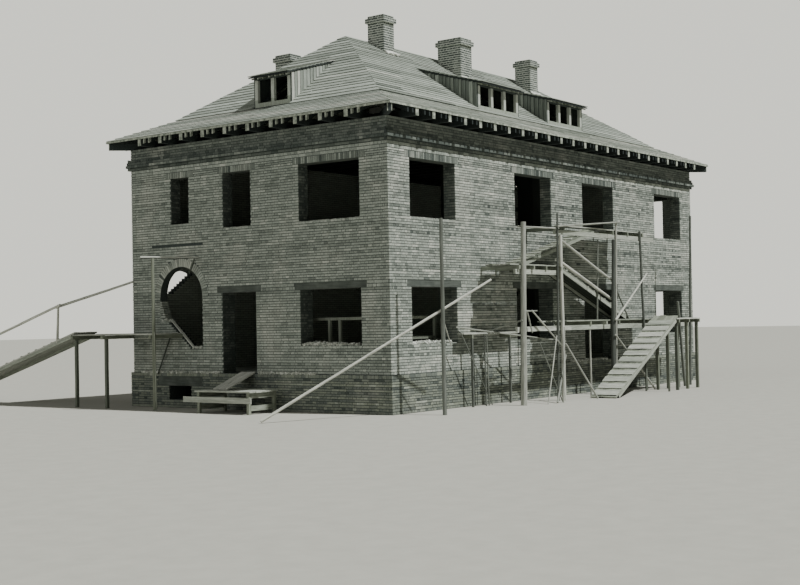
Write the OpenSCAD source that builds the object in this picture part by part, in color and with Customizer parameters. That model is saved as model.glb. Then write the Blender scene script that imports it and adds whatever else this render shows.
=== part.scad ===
// A two-storey railway station building in unfinished brickwork, with a hipped boarded roof
// that flares at the eaves, three shed dormers, four chimney stacks and the builders' gangway.
// X runs along the long front, the front faces -Y, and Z is up from the ground.

/* [Plan] */
// Length of the front and back walls over the brick faces
building_l = 19060; // [18000:10:24000]
// Depth of the building over the brick faces
building_w = 10030; // [9900:10:12000]
// Thickness of the ground storey walls, two bricks
ground_wall_t = 510; // [440:10:640]
// Thickness of the upper storey walls, one and a half bricks
upper_wall_t = 380; // [300:10:420]

/* [Heights] */
// Height of the plinth above the ground
plinth_h = 1050; // [900:10:1500]
// Step of the plinth outside the walls
plinth_out = 60; // [30:5:120]
// Width of the ledge that carries the ground floor inside the plinth
plinth_ledge = 130; // [100:5:200]
// Thickness of the two floors
floor_t = 250; // [180:10:320]
// Thickness of the cellar's floor
cellar_floor_t = 100; // [60:5:150]
// Height of the ground storey walls
ground_wall_h = 3200; // [3100:10:3800]
// Height of the upper storey walls
upper_wall_h = 3700; // [3600:10:4200]

/* [Windows] */
// Width of the large windows
window_w = 2180; // [1600:10:2400]
// Brickwork from each corner to the first window
corner_pier = 960; // [800:10:1300]
// Brickwork between the two middle windows of the long walls
centre_pier = 2040; // [1400:10:2600]
// Height of the ground sills above the floor
ground_sill = 780; // [500:10:1100]
// Height of the ground window heads above the floor
ground_head = 2350; // [2100:10:2450]
// Height of the upper sills above the upper floor
upper_sill = 800; // [500:10:1100]
// Height of the upper window heads above the upper floor
upper_head = 2410; // [2100:10:2450]
// Height of the flat lintels
lintel_h = 190; // [120:10:240]
// Bearing of each lintel beside its opening
lintel_bearing = 200; // [120:10:260]
// Width of the middle window of the upper end walls
mid_window_w = 1110; // [800:10:1300]
// Brickwork from that window to the back corner
mid_window_pier = 3940; // [3700:10:4200]
// Width of the small window of the upper end walls
small_window_w = 760; // [600:10:900]
// Brickwork from the small window to the back corner
small_window_pier = 1750; // [1500:10:2000]
// How much higher the small window's sill is
small_window_lift = 200; // [0:10:400]
// Brickwork between the two middle openings of the back wall
back_pier = 3860; // [3000:10:4200]
// Width of the last windows of the back wall
back_window_w = 1500; // [1000:10:1700]

/* [Doors and arches] */
// Width of the side door
door_w = 1350; // [900:10:1500]
// Brickwork between the side door and the arch
door_pier = 830; // [600:10:1000]
// Inner radius of the arches
arch_r = 900; // [700:10:950]
// Brickwork from the back corner to the side arch
arch_pier = 1230; // [1000:10:1300]
// Brickwork from the left corner to the back arch
back_arch_pier = 1000; // [900:10:1300]
// Thickness of the outer brickwork at the arches, which have a wider recess behind it
arch_leaf = 250; // [120:10:380]
// Height of the arch sills above the floor
arch_sill = 710; // [500:10:1000]
// Height of the arch springing above the floor
arch_spring = 2280; // [1900:10:2290]
// Depth of the brick ring round an arch
arch_ring_h = 250; // [120:10:300]
// Height of the unfinished brickwork stepped up in the side arch
rack_h = 800; // [600:10:1100]
// Steps of that brickwork
rack_steps = 10; // [3:1:12]
// Level part of the side arch's sill
rack_gap = 480; // [100:10:700]
// Level top of that brickwork at the back jamb
rack_top = 350; // [150:10:500]
// Height of the level brickwork in the back arch
back_rack_h = 1720; // [1400:10:1800]
// Level part of that brickwork, from the near jamb
back_rack_gap = 450; // [200:10:500]
// Length over which that brickwork steps up to the height of the arch's crown
back_rack_l = 1070; // [600:10:1200]
// Steps of the brickwork in the back arch
back_rack_steps = 9; // [4:1:12]
// Width of the cellar windows
cellar_window_w = 950; // [700:10:1100]
// Height of the cellar windows
cellar_window_h = 420; // [300:10:500]
// Brickwork from the cellar windows to the back corner
cellar_window_pier = 1620; // [1400:10:1900]
// Height of the cellar lintels, whose top is just below the plinth's top
cellar_lintel_h = 280; // [150:10:300]
// Brickwork between the cellar lintels and the plinth's top
cellar_cover = 110; // [80:10:180]
// Bearing of the cellar lintels
cellar_bearing = 480; // [200:10:600]

/* [String course] */
// Underside of the string course above the upper wall's foot
string_at = 3040; // [2960:10:3100]
// Height of one corbelled course
string_step_h = 85; // [60:1:90]
// Projection of the string course
string_out = 120; // [60:5:160]

/* [Eaves and roof] */
// Overhang of the eaves
eave_out = 545; // [420:5:700]
// Distance from the eave edge in to the change of slope
kink_in = 1548; // [1400:1:1700]
// Height of the change of slope above the joists
kink_rise = 710; // [600:10:800]
// Height of the ridge above the change of slope
ridge_rise = 2660; // [2400:10:3200]
// Distance from each end wall to the ridge's end
ridge_inset = 4530; // [4200:10:5200]
// Thickness of the roof boarding
board_t = 50; // [30:1:60]
// Height of the attic joists
joist_h = 200; // [150:5:240]
// Width of the attic joists
joist_w = 130; // [90:5:160]
// Spacing of the joists across the building
joist_gap = 770; // [650:5:900]
// Spacing of the lookouts along the end walls
lookout_gap = 900; // [750:5:1000]
// Distance of the joist ends behind the eave edge
joist_setback = 20; // [10:1:60]
// Depth of the rafters
rafter_h = 160; // [120:5:200]
// Width of the rafters
rafter_w = 80; // [60:5:100]
// Depth of the sprocket pieces under the eaves
sprocket_h = 140; // [100:5:160]
// Width of the sprocket pieces
sprocket_w = 50; // [40:5:70]
// Distance of the first sprocket from its joist
sprocket_at = 220; // [180:5:300]
// Width of the hip rafters
hip_w = 100; // [80:5:140]
// Depth of the hip rafters
hip_h = 220; // [180:5:260]
// Width of the ridge board
ridge_w = 60; // [40:5:90]
// Depth of the ridge board
ridge_h = 220; // [180:5:260]

/* [Dormers] */
// Width of the two front dormers
dormer_w = 2350; // [1900:10:2500]
// Openings of each front dormer
dormer_bays = 3; // [2:1:4]
// Width of the side dormer
side_dormer_w = 1420; // [1200:10:1700]
// Openings of the side dormer
side_dormer_bays = 2; // [1:1:3]
// Distance of the front dormers' faces behind the wall face
dormer_in = 1180; // [1100:10:1300]
// Distance of the side dormer's face behind the wall face
side_dormer_in = 1060; // [1030:10:1200]
// Height of a dormer's eave above the change of slope
dormer_h = 940; // [840:10:1000]
// Rise of a dormer's roof over one metre
dormer_pitch = 290; // [250:5:330]
// Overhang of a dormer's roof in front
dormer_eave = 200; // [100:10:260]
// Overhang of a dormer's roof at the sides
dormer_verge = 70; // [40:5:120]
// Width of the dormer posts
post_w = 120; // [90:5:140]
// Depth of the dormer posts
post_d = 100; // [80:5:140]
// Height of the beams over and under a dormer's openings
beam_h = 90; // [70:5:120]
// Thickness of the cheek boards
cheek_t = 30; // [20:1:40]
// Thickness of a dormer's roof boarding
dormer_board_t = 40; // [30:1:60]

/* [Chimneys] */
// Distance of the near stack from the left end of the building
near_stack_at = 5630; // [5200:10:5900]
// Distance of the far stack's left side from the right end
far_stack_in = 5220; // [4900:10:5600]
// Length of the three smaller stacks along the front
stack_l = 540; // [450:10:640]
// Depth of the three smaller stacks
stack_w = 640; // [520:10:760]
// Length of the large middle stack
big_stack_l = 670; // [560:10:800]
// Depth of the large middle stack
big_stack_w = 930; // [800:10:1100]
// Top of the front stack near the hip above the joists
near_stack_h = 4190; // [3900:10:4600]
// Top of the two other front stacks above the joists
far_stack_h = 3890; // [3600:10:4400]
// Top of the back stack above the joists
back_stack_h = 3100; // [2900:10:3600]
// Projection of a stack's cap
cap_out = 60; // [30:5:90]
// Height of a stack's projecting cap
cap_h = 150; // [80:5:220]
// Height of the plain course over the cap
cap_top_h = 85; // [60:5:120]
// Brickwork round a flue
flue_wall = 130; // [100:5:160]
// Depth of the open flues
flue_depth = 900; // [600:10:1200]
// Gap between a stack and the timber or floor round it
stack_gap = 10; // [5:1:25]

/* [Gangway] */
// Distance of the gangway poles from the wall
gang_out = 1350; // [1300:10:1600]
// Width of the decks
deck_w = 1080; // [900:10:1150]
// Thickness of the deck boards
deck_t = 45; // [30:1:60]
// Height of the putlogs
putlog_h = 110; // [70:5:120]
// Height of the ledgers
ledger_h = 140; // [90:5:160]
// Height of the lowest deck above the ground
deck_1_h = 2390; // [2200:10:2500]
// Height of the middle landing above the ground
deck_2_h = 4050; // [3900:10:4200]
// Height of the top deck above the ground
deck_3_h = 5280; // [5100:10:5350]
// Width of the walkway between the two upper decks
walk_w = 520; // [450:10:560]
// Width of the walkway between the two lower decks
stair_w = 620; // [500:10:700]
// Width of the ramp from the ground
ramp_w = 900; // [800:10:1000]
// Distance between the cleats of a ramp
cleat_gap = 400; // [300:10:500]
// Height of the deck beside the end wall
side_deck_h = 2250; // [2100:10:2400]
// Distance of the side deck's poles from the wall
side_out = 1200; // [1100:10:1400]

/* [Hidden] */
$fn = 48;

// Levels above the ground
z_floor = plinth_h;
z_upper_wall = z_floor + ground_wall_h;
z_upper_floor = z_upper_wall + floor_t;
z_wall_top = z_upper_wall + upper_wall_h;
z_joist = z_wall_top + joist_h;
z_kink = z_joist + kink_rise;
z_ridge = z_kink + ridge_rise;

// Distance of the change of slope from the wall faces, and the slopes as rise over run
kink_at = kink_in - eave_out;
low_slope = (kink_rise - board_t) / kink_in;
front_slope = ridge_rise / (building_w / 2 - kink_at);
end_slope = ridge_rise / (ridge_inset - kink_at);

// Brick colours and timber colours
brick = "#9a938b";
brick_dark = "#7f7a72";
timber = "#b5ab97";
timber_grey = "#9c978a";
floor_grey = "#8f8c86";

// Left edges of the four large openings of a long wall, from its end
long_at = [
    corner_pier,
    (building_l - centre_pier) / 2 - window_w,
    (building_l + centre_pier) / 2,
    building_l - corner_pier - window_w
];
// Left edges of the three openings of the back wall
back_at = [
    (building_l - back_pier) / 2 - window_w,
    (building_l + back_pier) / 2,
    building_l - corner_pier - back_window_w
];
// Near edges of the end walls' openings, and of the side arch
mid_window_at = building_w - mid_window_pier - mid_window_w;
small_window_at = building_w - small_window_pier - small_window_w;
cellar_window_at = building_w - cellar_window_pier - cellar_window_w;
side_arch_at = building_w - arch_pier - 2 * arch_r;
door_at = side_arch_at - door_pier - door_w;
// The far small windows stand a little further back than the near one
far_small_at = small_window_at + 130;

// Openings as [edge, width, sill height, head height], heights above the ground
function ground_window(at, w) = [at, w, z_floor + ground_sill, z_floor + ground_head];
function ground_door(at, w) = [at, w, z_floor, z_floor + ground_head];
function upper_window(at, w, lift) = [
    at, w, z_upper_floor + upper_sill + lift, z_upper_floor + upper_head
];
front_ground = [
    ground_window(long_at[0], window_w), ground_window(long_at[1], window_w),
    ground_door(long_at[2], window_w), ground_window(long_at[3], window_w)
];
back_ground = [
    ground_window(back_at[0], window_w), ground_door(back_at[1], window_w),
    ground_window(back_at[2], back_window_w)
];
front_upper = [for (at = long_at) upper_window(at, window_w, 0)];
back_upper = [
    upper_window(back_at[0], window_w, 0), upper_window(back_at[1], window_w, 0),
    upper_window(back_at[2], back_window_w, 0)
];
left_ground = [ground_window(corner_pier, window_w), ground_door(door_at, door_w)];
right_ground = [
    ground_window(corner_pier, window_w), ground_window(mid_window_at, mid_window_w),
    ground_window(far_small_at, small_window_w)
];
function end_upper(small_at) = [
    upper_window(corner_pier, window_w, 0), upper_window(mid_window_at, mid_window_w, 0),
    upper_window(small_at, small_window_w, small_window_lift)
];
back_arch_at = back_arch_pier;

// Stacks as [left edge, front edge, length, depth, top], from the front left corner
half_w = building_w / 2;
stack_near = [near_stack_at, half_w - 675, stack_l, stack_w, z_joist + near_stack_h];
stack_middle = [building_l / 2 - 560, half_w - 1375, big_stack_l, big_stack_w, z_joist + far_stack_h];
stack_far = [building_l - far_stack_in, half_w - 1165, stack_l, stack_w, z_joist + far_stack_h];
stack_back = [near_stack_at - 1360, half_w + 2135, stack_l, stack_w, z_joist + back_stack_h];
stacks = [stack_near, stack_middle, stack_far, stack_back];

// Dormers as [middle, width, bays, face distance, slope under it], from the corner of their wall
dormer_a = [long_at[1] + window_w / 2, dormer_w, dormer_bays, dormer_in, front_slope];
dormer_b = [long_at[2] + window_w / 2, dormer_w, dormer_bays, dormer_in, front_slope];
dormer_c = [building_w / 2, side_dormer_w, side_dormer_bays, side_dormer_in, end_slope];

cut = 5;

// Places a child drawn from a wall's left corner, with +Y going into the building
module on_front() {
    translate([-building_l / 2, -building_w / 2, 0]) children();
}
module on_back() {
    mirror([0, 1, 0]) on_front() children();
}
module on_left() {
    translate([-building_l / 2, -building_w / 2, 0]) mirror([1, -1, 0]) children();
}
module on_right() {
    mirror([1, 0, 0]) on_left() children();
}

// Holes of a list of openings through a wall, each with a pocket for its lintel
module opening_cuts(openings, t) {
    for (o = openings) {
        translate([o[0], -cut, o[2] - (o[2] == z_floor ? cut : 0)])
            cube([o[1], t + 2 * cut, o[3] - o[2] + (o[2] == z_floor ? cut : 0)]);
        translate([o[0] - lintel_bearing, -cut, o[3]])
            cube([o[1] + 2 * lintel_bearing, t + 2 * cut, lintel_h]);
    }
}
module lintels(openings, t) {
    for (o = openings)
        translate([o[0] - lintel_bearing, 0, o[3]])
            cube([o[1] + 2 * lintel_bearing, t, lintel_h]);
}

// Half-round hole for an arch's brick ring
module ring_seat(at, y, t) {
    translate([at + arch_r, y, z_floor + arch_spring])
        intersection() {
            rotate([-90, 0, 0]) cylinder(r = arch_r + arch_ring_h, h = t);
            translate([-2 * arch_r, -cut, 0]) cube([4 * arch_r, t + 2 * cut, 2 * arch_r]);
        }
}
// Hole of an arched opening, wider behind its outer brickwork
module arch_cut(at, t) {
    translate([at, -cut, z_floor + arch_sill])
        cube([2 * arch_r, t + 2 * cut, arch_spring - arch_sill + cut]);
    translate([at - arch_ring_h, arch_leaf, z_floor + arch_sill])
        cube([2 * (arch_r + arch_ring_h), t - arch_leaf + cut, arch_spring - arch_sill + cut]);
    ring_seat(at, -cut, t + 2 * cut);
}
module arch_ring(at, t) {
    translate([at + arch_r, 0, z_floor + arch_spring])
        intersection() {
            difference() {
                rotate([-90, 0, 0]) cylinder(r = arch_r + arch_ring_h, h = t);
                rotate([-90, 0, 0]) translate([0, 0, -cut]) cylinder(r = arch_r, h = t + 2 * cut);
            }
            translate([-2 * arch_r, -cut, 0]) cube([4 * arch_r, t + 2 * cut, 2 * arch_r]);
        }
}
// Stepped unfinished brickwork left standing in the side arch
module arch_rack(t) {
    step_w = (2 * arch_r - rack_gap - rack_top) / rack_steps;
    step_h = rack_h / rack_steps;
    for (i = [1 : rack_steps])
        translate([side_arch_at + rack_gap + (i - 1) * step_w, -2 * cut, z_floor + arch_sill - cut])
            cube([2 * arch_r - rack_gap - (i - 1) * step_w + cut, t + 4 * cut, i * step_h + cut]);
}

// Brickwork that fills most of the back arch, stepped up from its near jamb
module back_rack(t) {
    step_w = back_rack_l / back_rack_steps;
    step_h = (arch_spring - arch_sill + arch_r - back_rack_h) / back_rack_steps;
    intersection() {
        for (i = [0 : back_rack_steps])
            translate([
                back_arch_at + (i > 0 ? back_rack_gap + (i - 1) * step_w : -cut), -2 * cut,
                z_floor + arch_sill - cut
            ])
                cube([2 * arch_r + 2 * cut, t + 4 * cut, back_rack_h + i * step_h + cut]);
        union() {
            translate([back_arch_at - cut, -2 * cut, 0])
                cube([2 * arch_r + 2 * cut, t + 4 * cut, z_floor + arch_spring]);
            translate([back_arch_at + arch_r, 0, z_floor + arch_spring])
                rotate([-90, 0, 0]) translate([0, 0, -2 * cut]) cylinder(r = arch_r, h = t + 4 * cut);
        }
    }
}

// Plinth of one side, with the ledge that carries the ground floor
module plinth(start, end, ledge_start, ledge_end) {
    translate([start, -plinth_out, 0])
        cube([end - start, plinth_out + ground_wall_t, plinth_h]);
    translate([ledge_start, ground_wall_t - cut, 0])
        cube([ledge_end - ledge_start, plinth_ledge + cut, plinth_h - floor_t]);
}
module plinth_long() {
    plinth(-plinth_out, building_l + plinth_out, ground_wall_t, building_l - ground_wall_t);
}
cellar_head = plinth_h - cellar_cover - cellar_lintel_h;
module plinth_end() {
    inner = ground_wall_t + plinth_ledge;
    difference() {
        plinth(ground_wall_t, building_w - ground_wall_t, inner, building_w - inner);
        translate([cellar_window_at, -plinth_out - cut, cellar_head - cellar_window_h])
            cube([cellar_window_w, inner + plinth_out + 2 * cut, cellar_window_h]);
        cellar_lintel();
    }
}
module cellar_lintel() {
    translate([cellar_window_at - cellar_bearing, -plinth_out, cellar_head])
        cube([cellar_window_w + 2 * cellar_bearing, plinth_out + ground_wall_t / 2, cellar_lintel_h]);
}

module plinth_front() {
    color(brick_dark) on_front() plinth_long();
}
module plinth_back() {
    color(brick_dark) on_back() plinth_long();
}
module plinth_left() {
    color(brick_dark) on_left() plinth_end();
}
module plinth_right() {
    color(brick_dark) on_right() plinth_end();
}

module ground_wall_front() {
    color(brick) on_front() difference() {
        translate([0, 0, z_floor]) cube([building_l, ground_wall_t, ground_wall_h]);
        opening_cuts(front_ground, ground_wall_t);
    }
}
module ground_wall_back() {
    color(brick) on_back() difference() {
        translate([0, 0, z_floor]) cube([building_l, ground_wall_t, ground_wall_h]);
        opening_cuts(back_ground, ground_wall_t);
        difference() {
            arch_cut(back_arch_at, ground_wall_t);
            back_rack(arch_leaf);
        }
    }
}
module ground_wall_end(openings) {
    difference() {
        translate([ground_wall_t, 0, z_floor])
            cube([building_w - 2 * ground_wall_t, ground_wall_t, ground_wall_h]);
        opening_cuts(openings, ground_wall_t);
    }
}
module ground_wall_left() {
    color(brick) on_left() difference() {
        ground_wall_end(left_ground);
        difference() {
            arch_cut(side_arch_at, ground_wall_t);
            arch_rack(arch_leaf);
        }
    }
}
module ground_wall_right() {
    color(brick) on_right() ground_wall_end(right_ground);
}

module upper_wall_long(openings) {
    difference() {
        translate([0, 0, z_upper_wall]) cube([building_l, upper_wall_t, upper_wall_h]);
        opening_cuts(openings, upper_wall_t);
    }
}
module upper_wall_end(openings) {
    difference() {
        translate([upper_wall_t, 0, z_upper_wall])
            cube([building_w - 2 * upper_wall_t, upper_wall_t, upper_wall_h]);
        opening_cuts(openings, upper_wall_t);
    }
}
module upper_wall_front() {
    color(brick) on_front() upper_wall_long(front_upper);
}
module upper_wall_back() {
    color(brick) on_back() difference() {
        upper_wall_long(back_upper);
        ring_seat(back_arch_at, -cut, arch_leaf + cut);
    }
}
module upper_wall_left() {
    color(brick) on_left() difference() {
        upper_wall_end(end_upper(small_window_at));
        ring_seat(side_arch_at, -cut, arch_leaf + cut);
    }
}
module upper_wall_right() {
    color(brick) on_right() upper_wall_end(end_upper(far_small_at));
}

module ground_lintels() {
    color(brick_dark) {
        on_front() lintels(front_ground, ground_wall_t);
        on_back() lintels(back_ground, ground_wall_t);
        on_left() lintels(left_ground, ground_wall_t);
        on_right() lintels(right_ground, ground_wall_t);
        on_left() cellar_lintel();
        on_right() cellar_lintel();
    }
}
module upper_lintels() {
    color(brick_dark) {
        on_front() lintels(front_upper, upper_wall_t);
        on_back() lintels(back_upper, upper_wall_t);
        on_left() lintels(end_upper(small_window_at), upper_wall_t);
        on_right() lintels(end_upper(far_small_at), upper_wall_t);
    }
}
module arch_rings() {
    color(brick) {
        on_left() arch_ring(side_arch_at, arch_leaf);
        on_back() arch_ring(back_arch_at, arch_leaf);
    }
}

// Corbelled string course along one wall, in four brick courses
module string_course(start, end) {
    steps = [string_out / 3, string_out, string_out * 2 / 3, string_out / 3];
    translate([start, 0, z_upper_wall + string_at])
        for (i = [0 : 3])
            translate([0, -steps[i], i * string_step_h])
                cube([end - start, steps[i], string_step_h]);
}
module string_course_long() {
    color(brick) {
        on_front() string_course(-string_out, building_l + string_out);
        on_back() string_course(-string_out, building_l + string_out);
    }
}
module string_course_short() {
    color(brick) {
        on_left() string_course(0, building_w);
        on_right() string_course(0, building_w);
    }
}

// Holes round the stacks
module stack_cuts(z0, z1) {
    on_front()
        for (s = stacks)
            translate([s[0] - stack_gap, s[1] - stack_gap, z0])
                cube([s[2] + 2 * stack_gap, s[3] + 2 * stack_gap, z1 - z0]);
}
module floor_slab(edge, z_top, t) {
    difference() {
        on_front() translate([edge, edge, z_top - t])
            cube([building_l - 2 * edge, building_w - 2 * edge, t]);
        stack_cuts(z_top - t - cut, z_top + cut);
    }
}
module cellar_floor() {
    color(floor_grey) floor_slab(ground_wall_t + plinth_ledge, cellar_floor_t, cellar_floor_t);
}
module ground_floor() {
    color(floor_grey) floor_slab(ground_wall_t, z_floor, floor_t);
}
module upper_floor() {
    color(floor_grey) floor_slab(upper_wall_t, z_upper_floor, floor_t);
}

// Places of the joists and lookouts, centred on their walls
joist_n = floor((building_l / 2 - 600) / joist_gap - 0.5);
lookout_n = floor((building_w / 2 - 800) / lookout_gap);
joist_at = [for (i = [-joist_n - 0.5 : joist_n + 0.5]) building_l / 2 + i * joist_gap];
lookout_at = [for (i = [-lookout_n - 0.5 : lookout_n + 0.5]) building_w / 2 + i * lookout_gap];
first_joist = joist_at[0] - joist_w / 2;
corner_gap = 10;

// A joist stops at a stack that stands in its way, and bears on it
function in_the_way(at, s) = abs(at - s[0] - s[2] / 2) < (joist_w + s[2]) / 2;
module attic_joists() {
    color(timber) on_front()
        for (at = joist_at)
            difference() {
                translate([at - joist_w / 2, joist_setback - eave_out, z_wall_top])
                    cube([joist_w, building_w + 2 * (eave_out - joist_setback), joist_h]);
                for (s = stacks)
                    if (in_the_way(at, s))
                        translate([at - joist_w, s[1], z_wall_top - cut])
                            cube([2 * joist_w, s[3], joist_h + 2 * cut]);
            }
}
// Short joists that carry the eaves of the end walls, and one across each corner
module end_lookouts() {
    for (at = lookout_at)
        translate([at - joist_w / 2, joist_setback - eave_out, z_wall_top])
            cube([joist_w, eave_out - joist_setback + first_joist, joist_h]);
}
module corner_lookout() {
    reach = sqrt(2) * (first_joist + eave_out - joist_setback) - joist_w - corner_gap;
    translate([joist_setback - eave_out, joist_setback - eave_out, z_wall_top])
        rotate([0, 0, 45])
            translate([joist_w / 2, -joist_w / 2, 0]) cube([reach, joist_w, joist_h]);
}
module lookouts() {
    color(timber) {
        on_left() end_lookouts();
        on_right() end_lookouts();
        on_left() corner_lookout();
        on_right() corner_lookout();
        mirror([0, 1, 0]) on_left() corner_lookout();
        mirror([0, 1, 0]) on_right() corner_lookout();
    }
}

// Vertical thickness of a sloping layer
function steep(t, slope) = t * sqrt(1 + slope * slope);

// Plan of one roof slope, out to the eave edge, between its hips
function slope_plan(len, inset, ridge_at) = [
    [-eave_out, -eave_out], [len + eave_out, -eave_out],
    [len - kink_at, kink_at], [len - inset, ridge_at],
    [inset, ridge_at], [kink_at, kink_at]
];
long_plan = slope_plan(building_l, ridge_inset, building_w / 2);
end_plan = [
    [-eave_out, -eave_out], [building_w + eave_out, -eave_out],
    [building_w - kink_at, kink_at], [building_w / 2, ridge_inset], [kink_at, kink_at]
];

module over_plan(plan) {
    linear_extrude(height = z_ridge + board_t) polygon(plan);
}
// Section through a slope, drawn in the plane across the eave and pulled along it
module along_eave(points, start, end) {
    translate([start, 0, 0]) rotate([90, 0, 90]) linear_extrude(height = end - start) polygon(points);
}
// Section of the boarding of a slope that reaches the given distance
function board_section(slope, reach) = let (
    low = steep(board_t, low_slope),
    up = steep(board_t, slope),
    z_end = z_kink + slope * (reach - kink_at)
) [
    [-eave_out, z_joist], [-eave_out, z_joist + low], [kink_at, z_kink], [reach, z_end],
    [reach, z_end - up], [kink_at, z_kink - up]
];
// Section of a rafter, whose foot stands on the joists
function rafter_top(slope) = z_kink - steep(board_t, slope);
function rafter_section(slope, reach) = let (
    top = rafter_top(slope),
    deep = steep(rafter_h, slope),
    rise = slope * (reach - kink_at),
    foot = kink_at - (top - z_joist) / slope
) [
    [foot, z_joist], [foot + deep / slope, z_joist], [reach, top + rise - deep], [reach, top + rise]
];
// Section of a sprocket, under the boards from the eave in to the rafters
function sprocket_section(slope) = let (
    top = z_joist,
    up = (rafter_top(slope) - z_joist) / kink_in,
    deep = steep(sprocket_h, up),
    start = joist_setback - eave_out
) [
    [start, top + up * joist_setback], [start, top + up * joist_setback - deep],
    [0, top + up * eave_out - deep], [kink_at / 3, top + up * (eave_out + kink_at / 3)]
];

// Well in the boards behind a dormer's face
module dormer_well(d) {
    margin = post_w + 50;
    translate([d[0] - d[1] / 2 + margin, d[3] + post_d + 60, z_kink - 500])
        cube([d[1] - 2 * margin, 1500, 3000]);
}
module slope_boards(plan, slope, reach, len) {
    intersection() {
        along_eave(board_section(slope, reach), -eave_out, len + eave_out);
        over_plan(plan);
    }
}
module roof_front() {
    color(timber_grey) difference() {
        on_front() difference() {
            slope_boards(long_plan, front_slope, building_w / 2, building_l);
            dormer_well(dormer_a);
            dormer_well(dormer_b);
        }
        stack_cuts(z_joist, z_ridge + 1000);
    }
}
module roof_back() {
    color(timber_grey) difference() {
        on_back() slope_boards(long_plan, front_slope, building_w / 2, building_l);
        stack_cuts(z_joist, z_ridge + 1000);
    }
}
module roof_left() {
    color(timber_grey) difference() {
        on_left() difference() {
            slope_boards(end_plan, end_slope, ridge_inset, building_w);
            dormer_well(dormer_c);
        }
        stack_cuts(z_joist, z_ridge + 1000);
    }
}
module roof_right() {
    color(timber_grey) on_right() slope_boards(end_plan, end_slope, ridge_inset, building_w);
}

// Hip rafter of the front left corner, under the line where two slopes meet
hip_run = norm([ridge_inset - kink_at, building_w / 2 - kink_at]);
hip_turn = atan2(building_w / 2 - kink_at, ridge_inset - kink_at);
hip_slope = ridge_rise / hip_run;
hip_drop = steep(board_t, end_slope) + hip_w / 2 * end_slope;
function hip_points() = let (
    top = z_kink - hip_drop,
    deep = steep(hip_h, hip_slope),
    foot = (top - z_joist) / hip_slope
) [
    [-foot, z_joist], [-foot + deep / hip_slope, z_joist],
    [hip_run - ridge_w, top + hip_slope * (hip_run - ridge_w) - deep],
    [hip_run - ridge_w, top + hip_slope * (hip_run - ridge_w)]
];
module hip_rafter() {
    translate([kink_at, kink_at, 0]) rotate([0, 0, hip_turn])
        translate([0, hip_w / 2, 0]) rotate([90, 0, 0])
            linear_extrude(height = hip_w) polygon(hip_points());
}
module hip_clear() {
    translate([kink_at, kink_at, z_joist - 1000]) rotate([0, 0, hip_turn])
        translate([-2 * kink_in, -hip_w / 2, 0]) cube([hip_run + 3 * kink_in, hip_w, 2 * z_ridge]);
}
module each_corner() {
    on_front() children();
    on_back() children();
    mirror([1, 0, 0]) on_front() children();
    mirror([1, 0, 0]) on_back() children();
}
module hip_rafters() {
    color(timber) each_corner() hip_rafter();
}
module ridge_board() {
    top = z_ridge - steep(board_t, front_slope) - ridge_w / 2 * front_slope;
    color(timber) on_front()
        translate([ridge_inset, (building_w - ridge_w) / 2, top - ridge_h])
            cube([building_l - 2 * ridge_inset, ridge_w, ridge_h]);
}

// Rafters of one slope, without the places too near the corners for one
module slope_rafters(places, plan, slope, reach) {
    len = places[0] + places[len(places) - 1];
    intersection() {
        for (at = places)
            if (at > kink_at && at < len - kink_at)
                along_eave(rafter_section(slope, reach), at - rafter_w / 2, at + rafter_w / 2);
        over_plan(plan);
    }
}
module rafters_long() {
    color(timber) difference() {
        union() {
            on_front() difference() {
                slope_rafters(joist_at, long_plan, front_slope, (building_w - ridge_w) / 2);
                dormer_well(dormer_a);
                dormer_well(dormer_b);
            }
            on_back() slope_rafters(joist_at, long_plan, front_slope, (building_w - ridge_w) / 2);
        }
        each_corner() hip_clear();
        stack_cuts(z_joist, z_ridge + 1000);
    }
}
module rafters_ends() {
    color(timber) difference() {
        union() {
            on_left() difference() {
                slope_rafters(lookout_at, end_plan, end_slope, ridge_inset);
                dormer_well(dormer_c);
            }
            on_right() slope_rafters(lookout_at, end_plan, end_slope, ridge_inset);
        }
        each_corner() hip_clear();
        stack_cuts(z_joist, z_ridge + 1000);
    }
}
module side_sprockets(places, plan, slope) {
    intersection() {
        for (at = places, i = [1, 2])
            along_eave(sprocket_section(slope), at - i * sprocket_at, at - i * sprocket_at + sprocket_w);
        over_plan(plan);
    }
}
module sprockets() {
    color(timber) difference() {
        union() {
            on_front() side_sprockets(joist_at, long_plan, front_slope);
            on_back() side_sprockets(joist_at, long_plan, front_slope);
            on_left() side_sprockets(lookout_at, end_plan, end_slope);
            on_right() side_sprockets(lookout_at, end_plan, end_slope);
        }
        each_corner() hip_clear();
    }
}

// Height of a slope's boards at a distance behind the wall face
function roof_z(d, at) = z_kink + d[4] * (at - kink_at);
// Height of a dormer's roof boards at that distance
function dormer_z(d, at) = z_kink + dormer_h + dormer_pitch / 1000 * (at - d[3] + dormer_eave);
// Distance at which a dormer's roof, lowered by a thickness, meets the main roof
function dormer_meets(d, down) = let (
    at_zero = dormer_z(d, 0) - down - roof_z(d, 0)
) at_zero / (d[4] - dormer_pitch / 1000);

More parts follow.
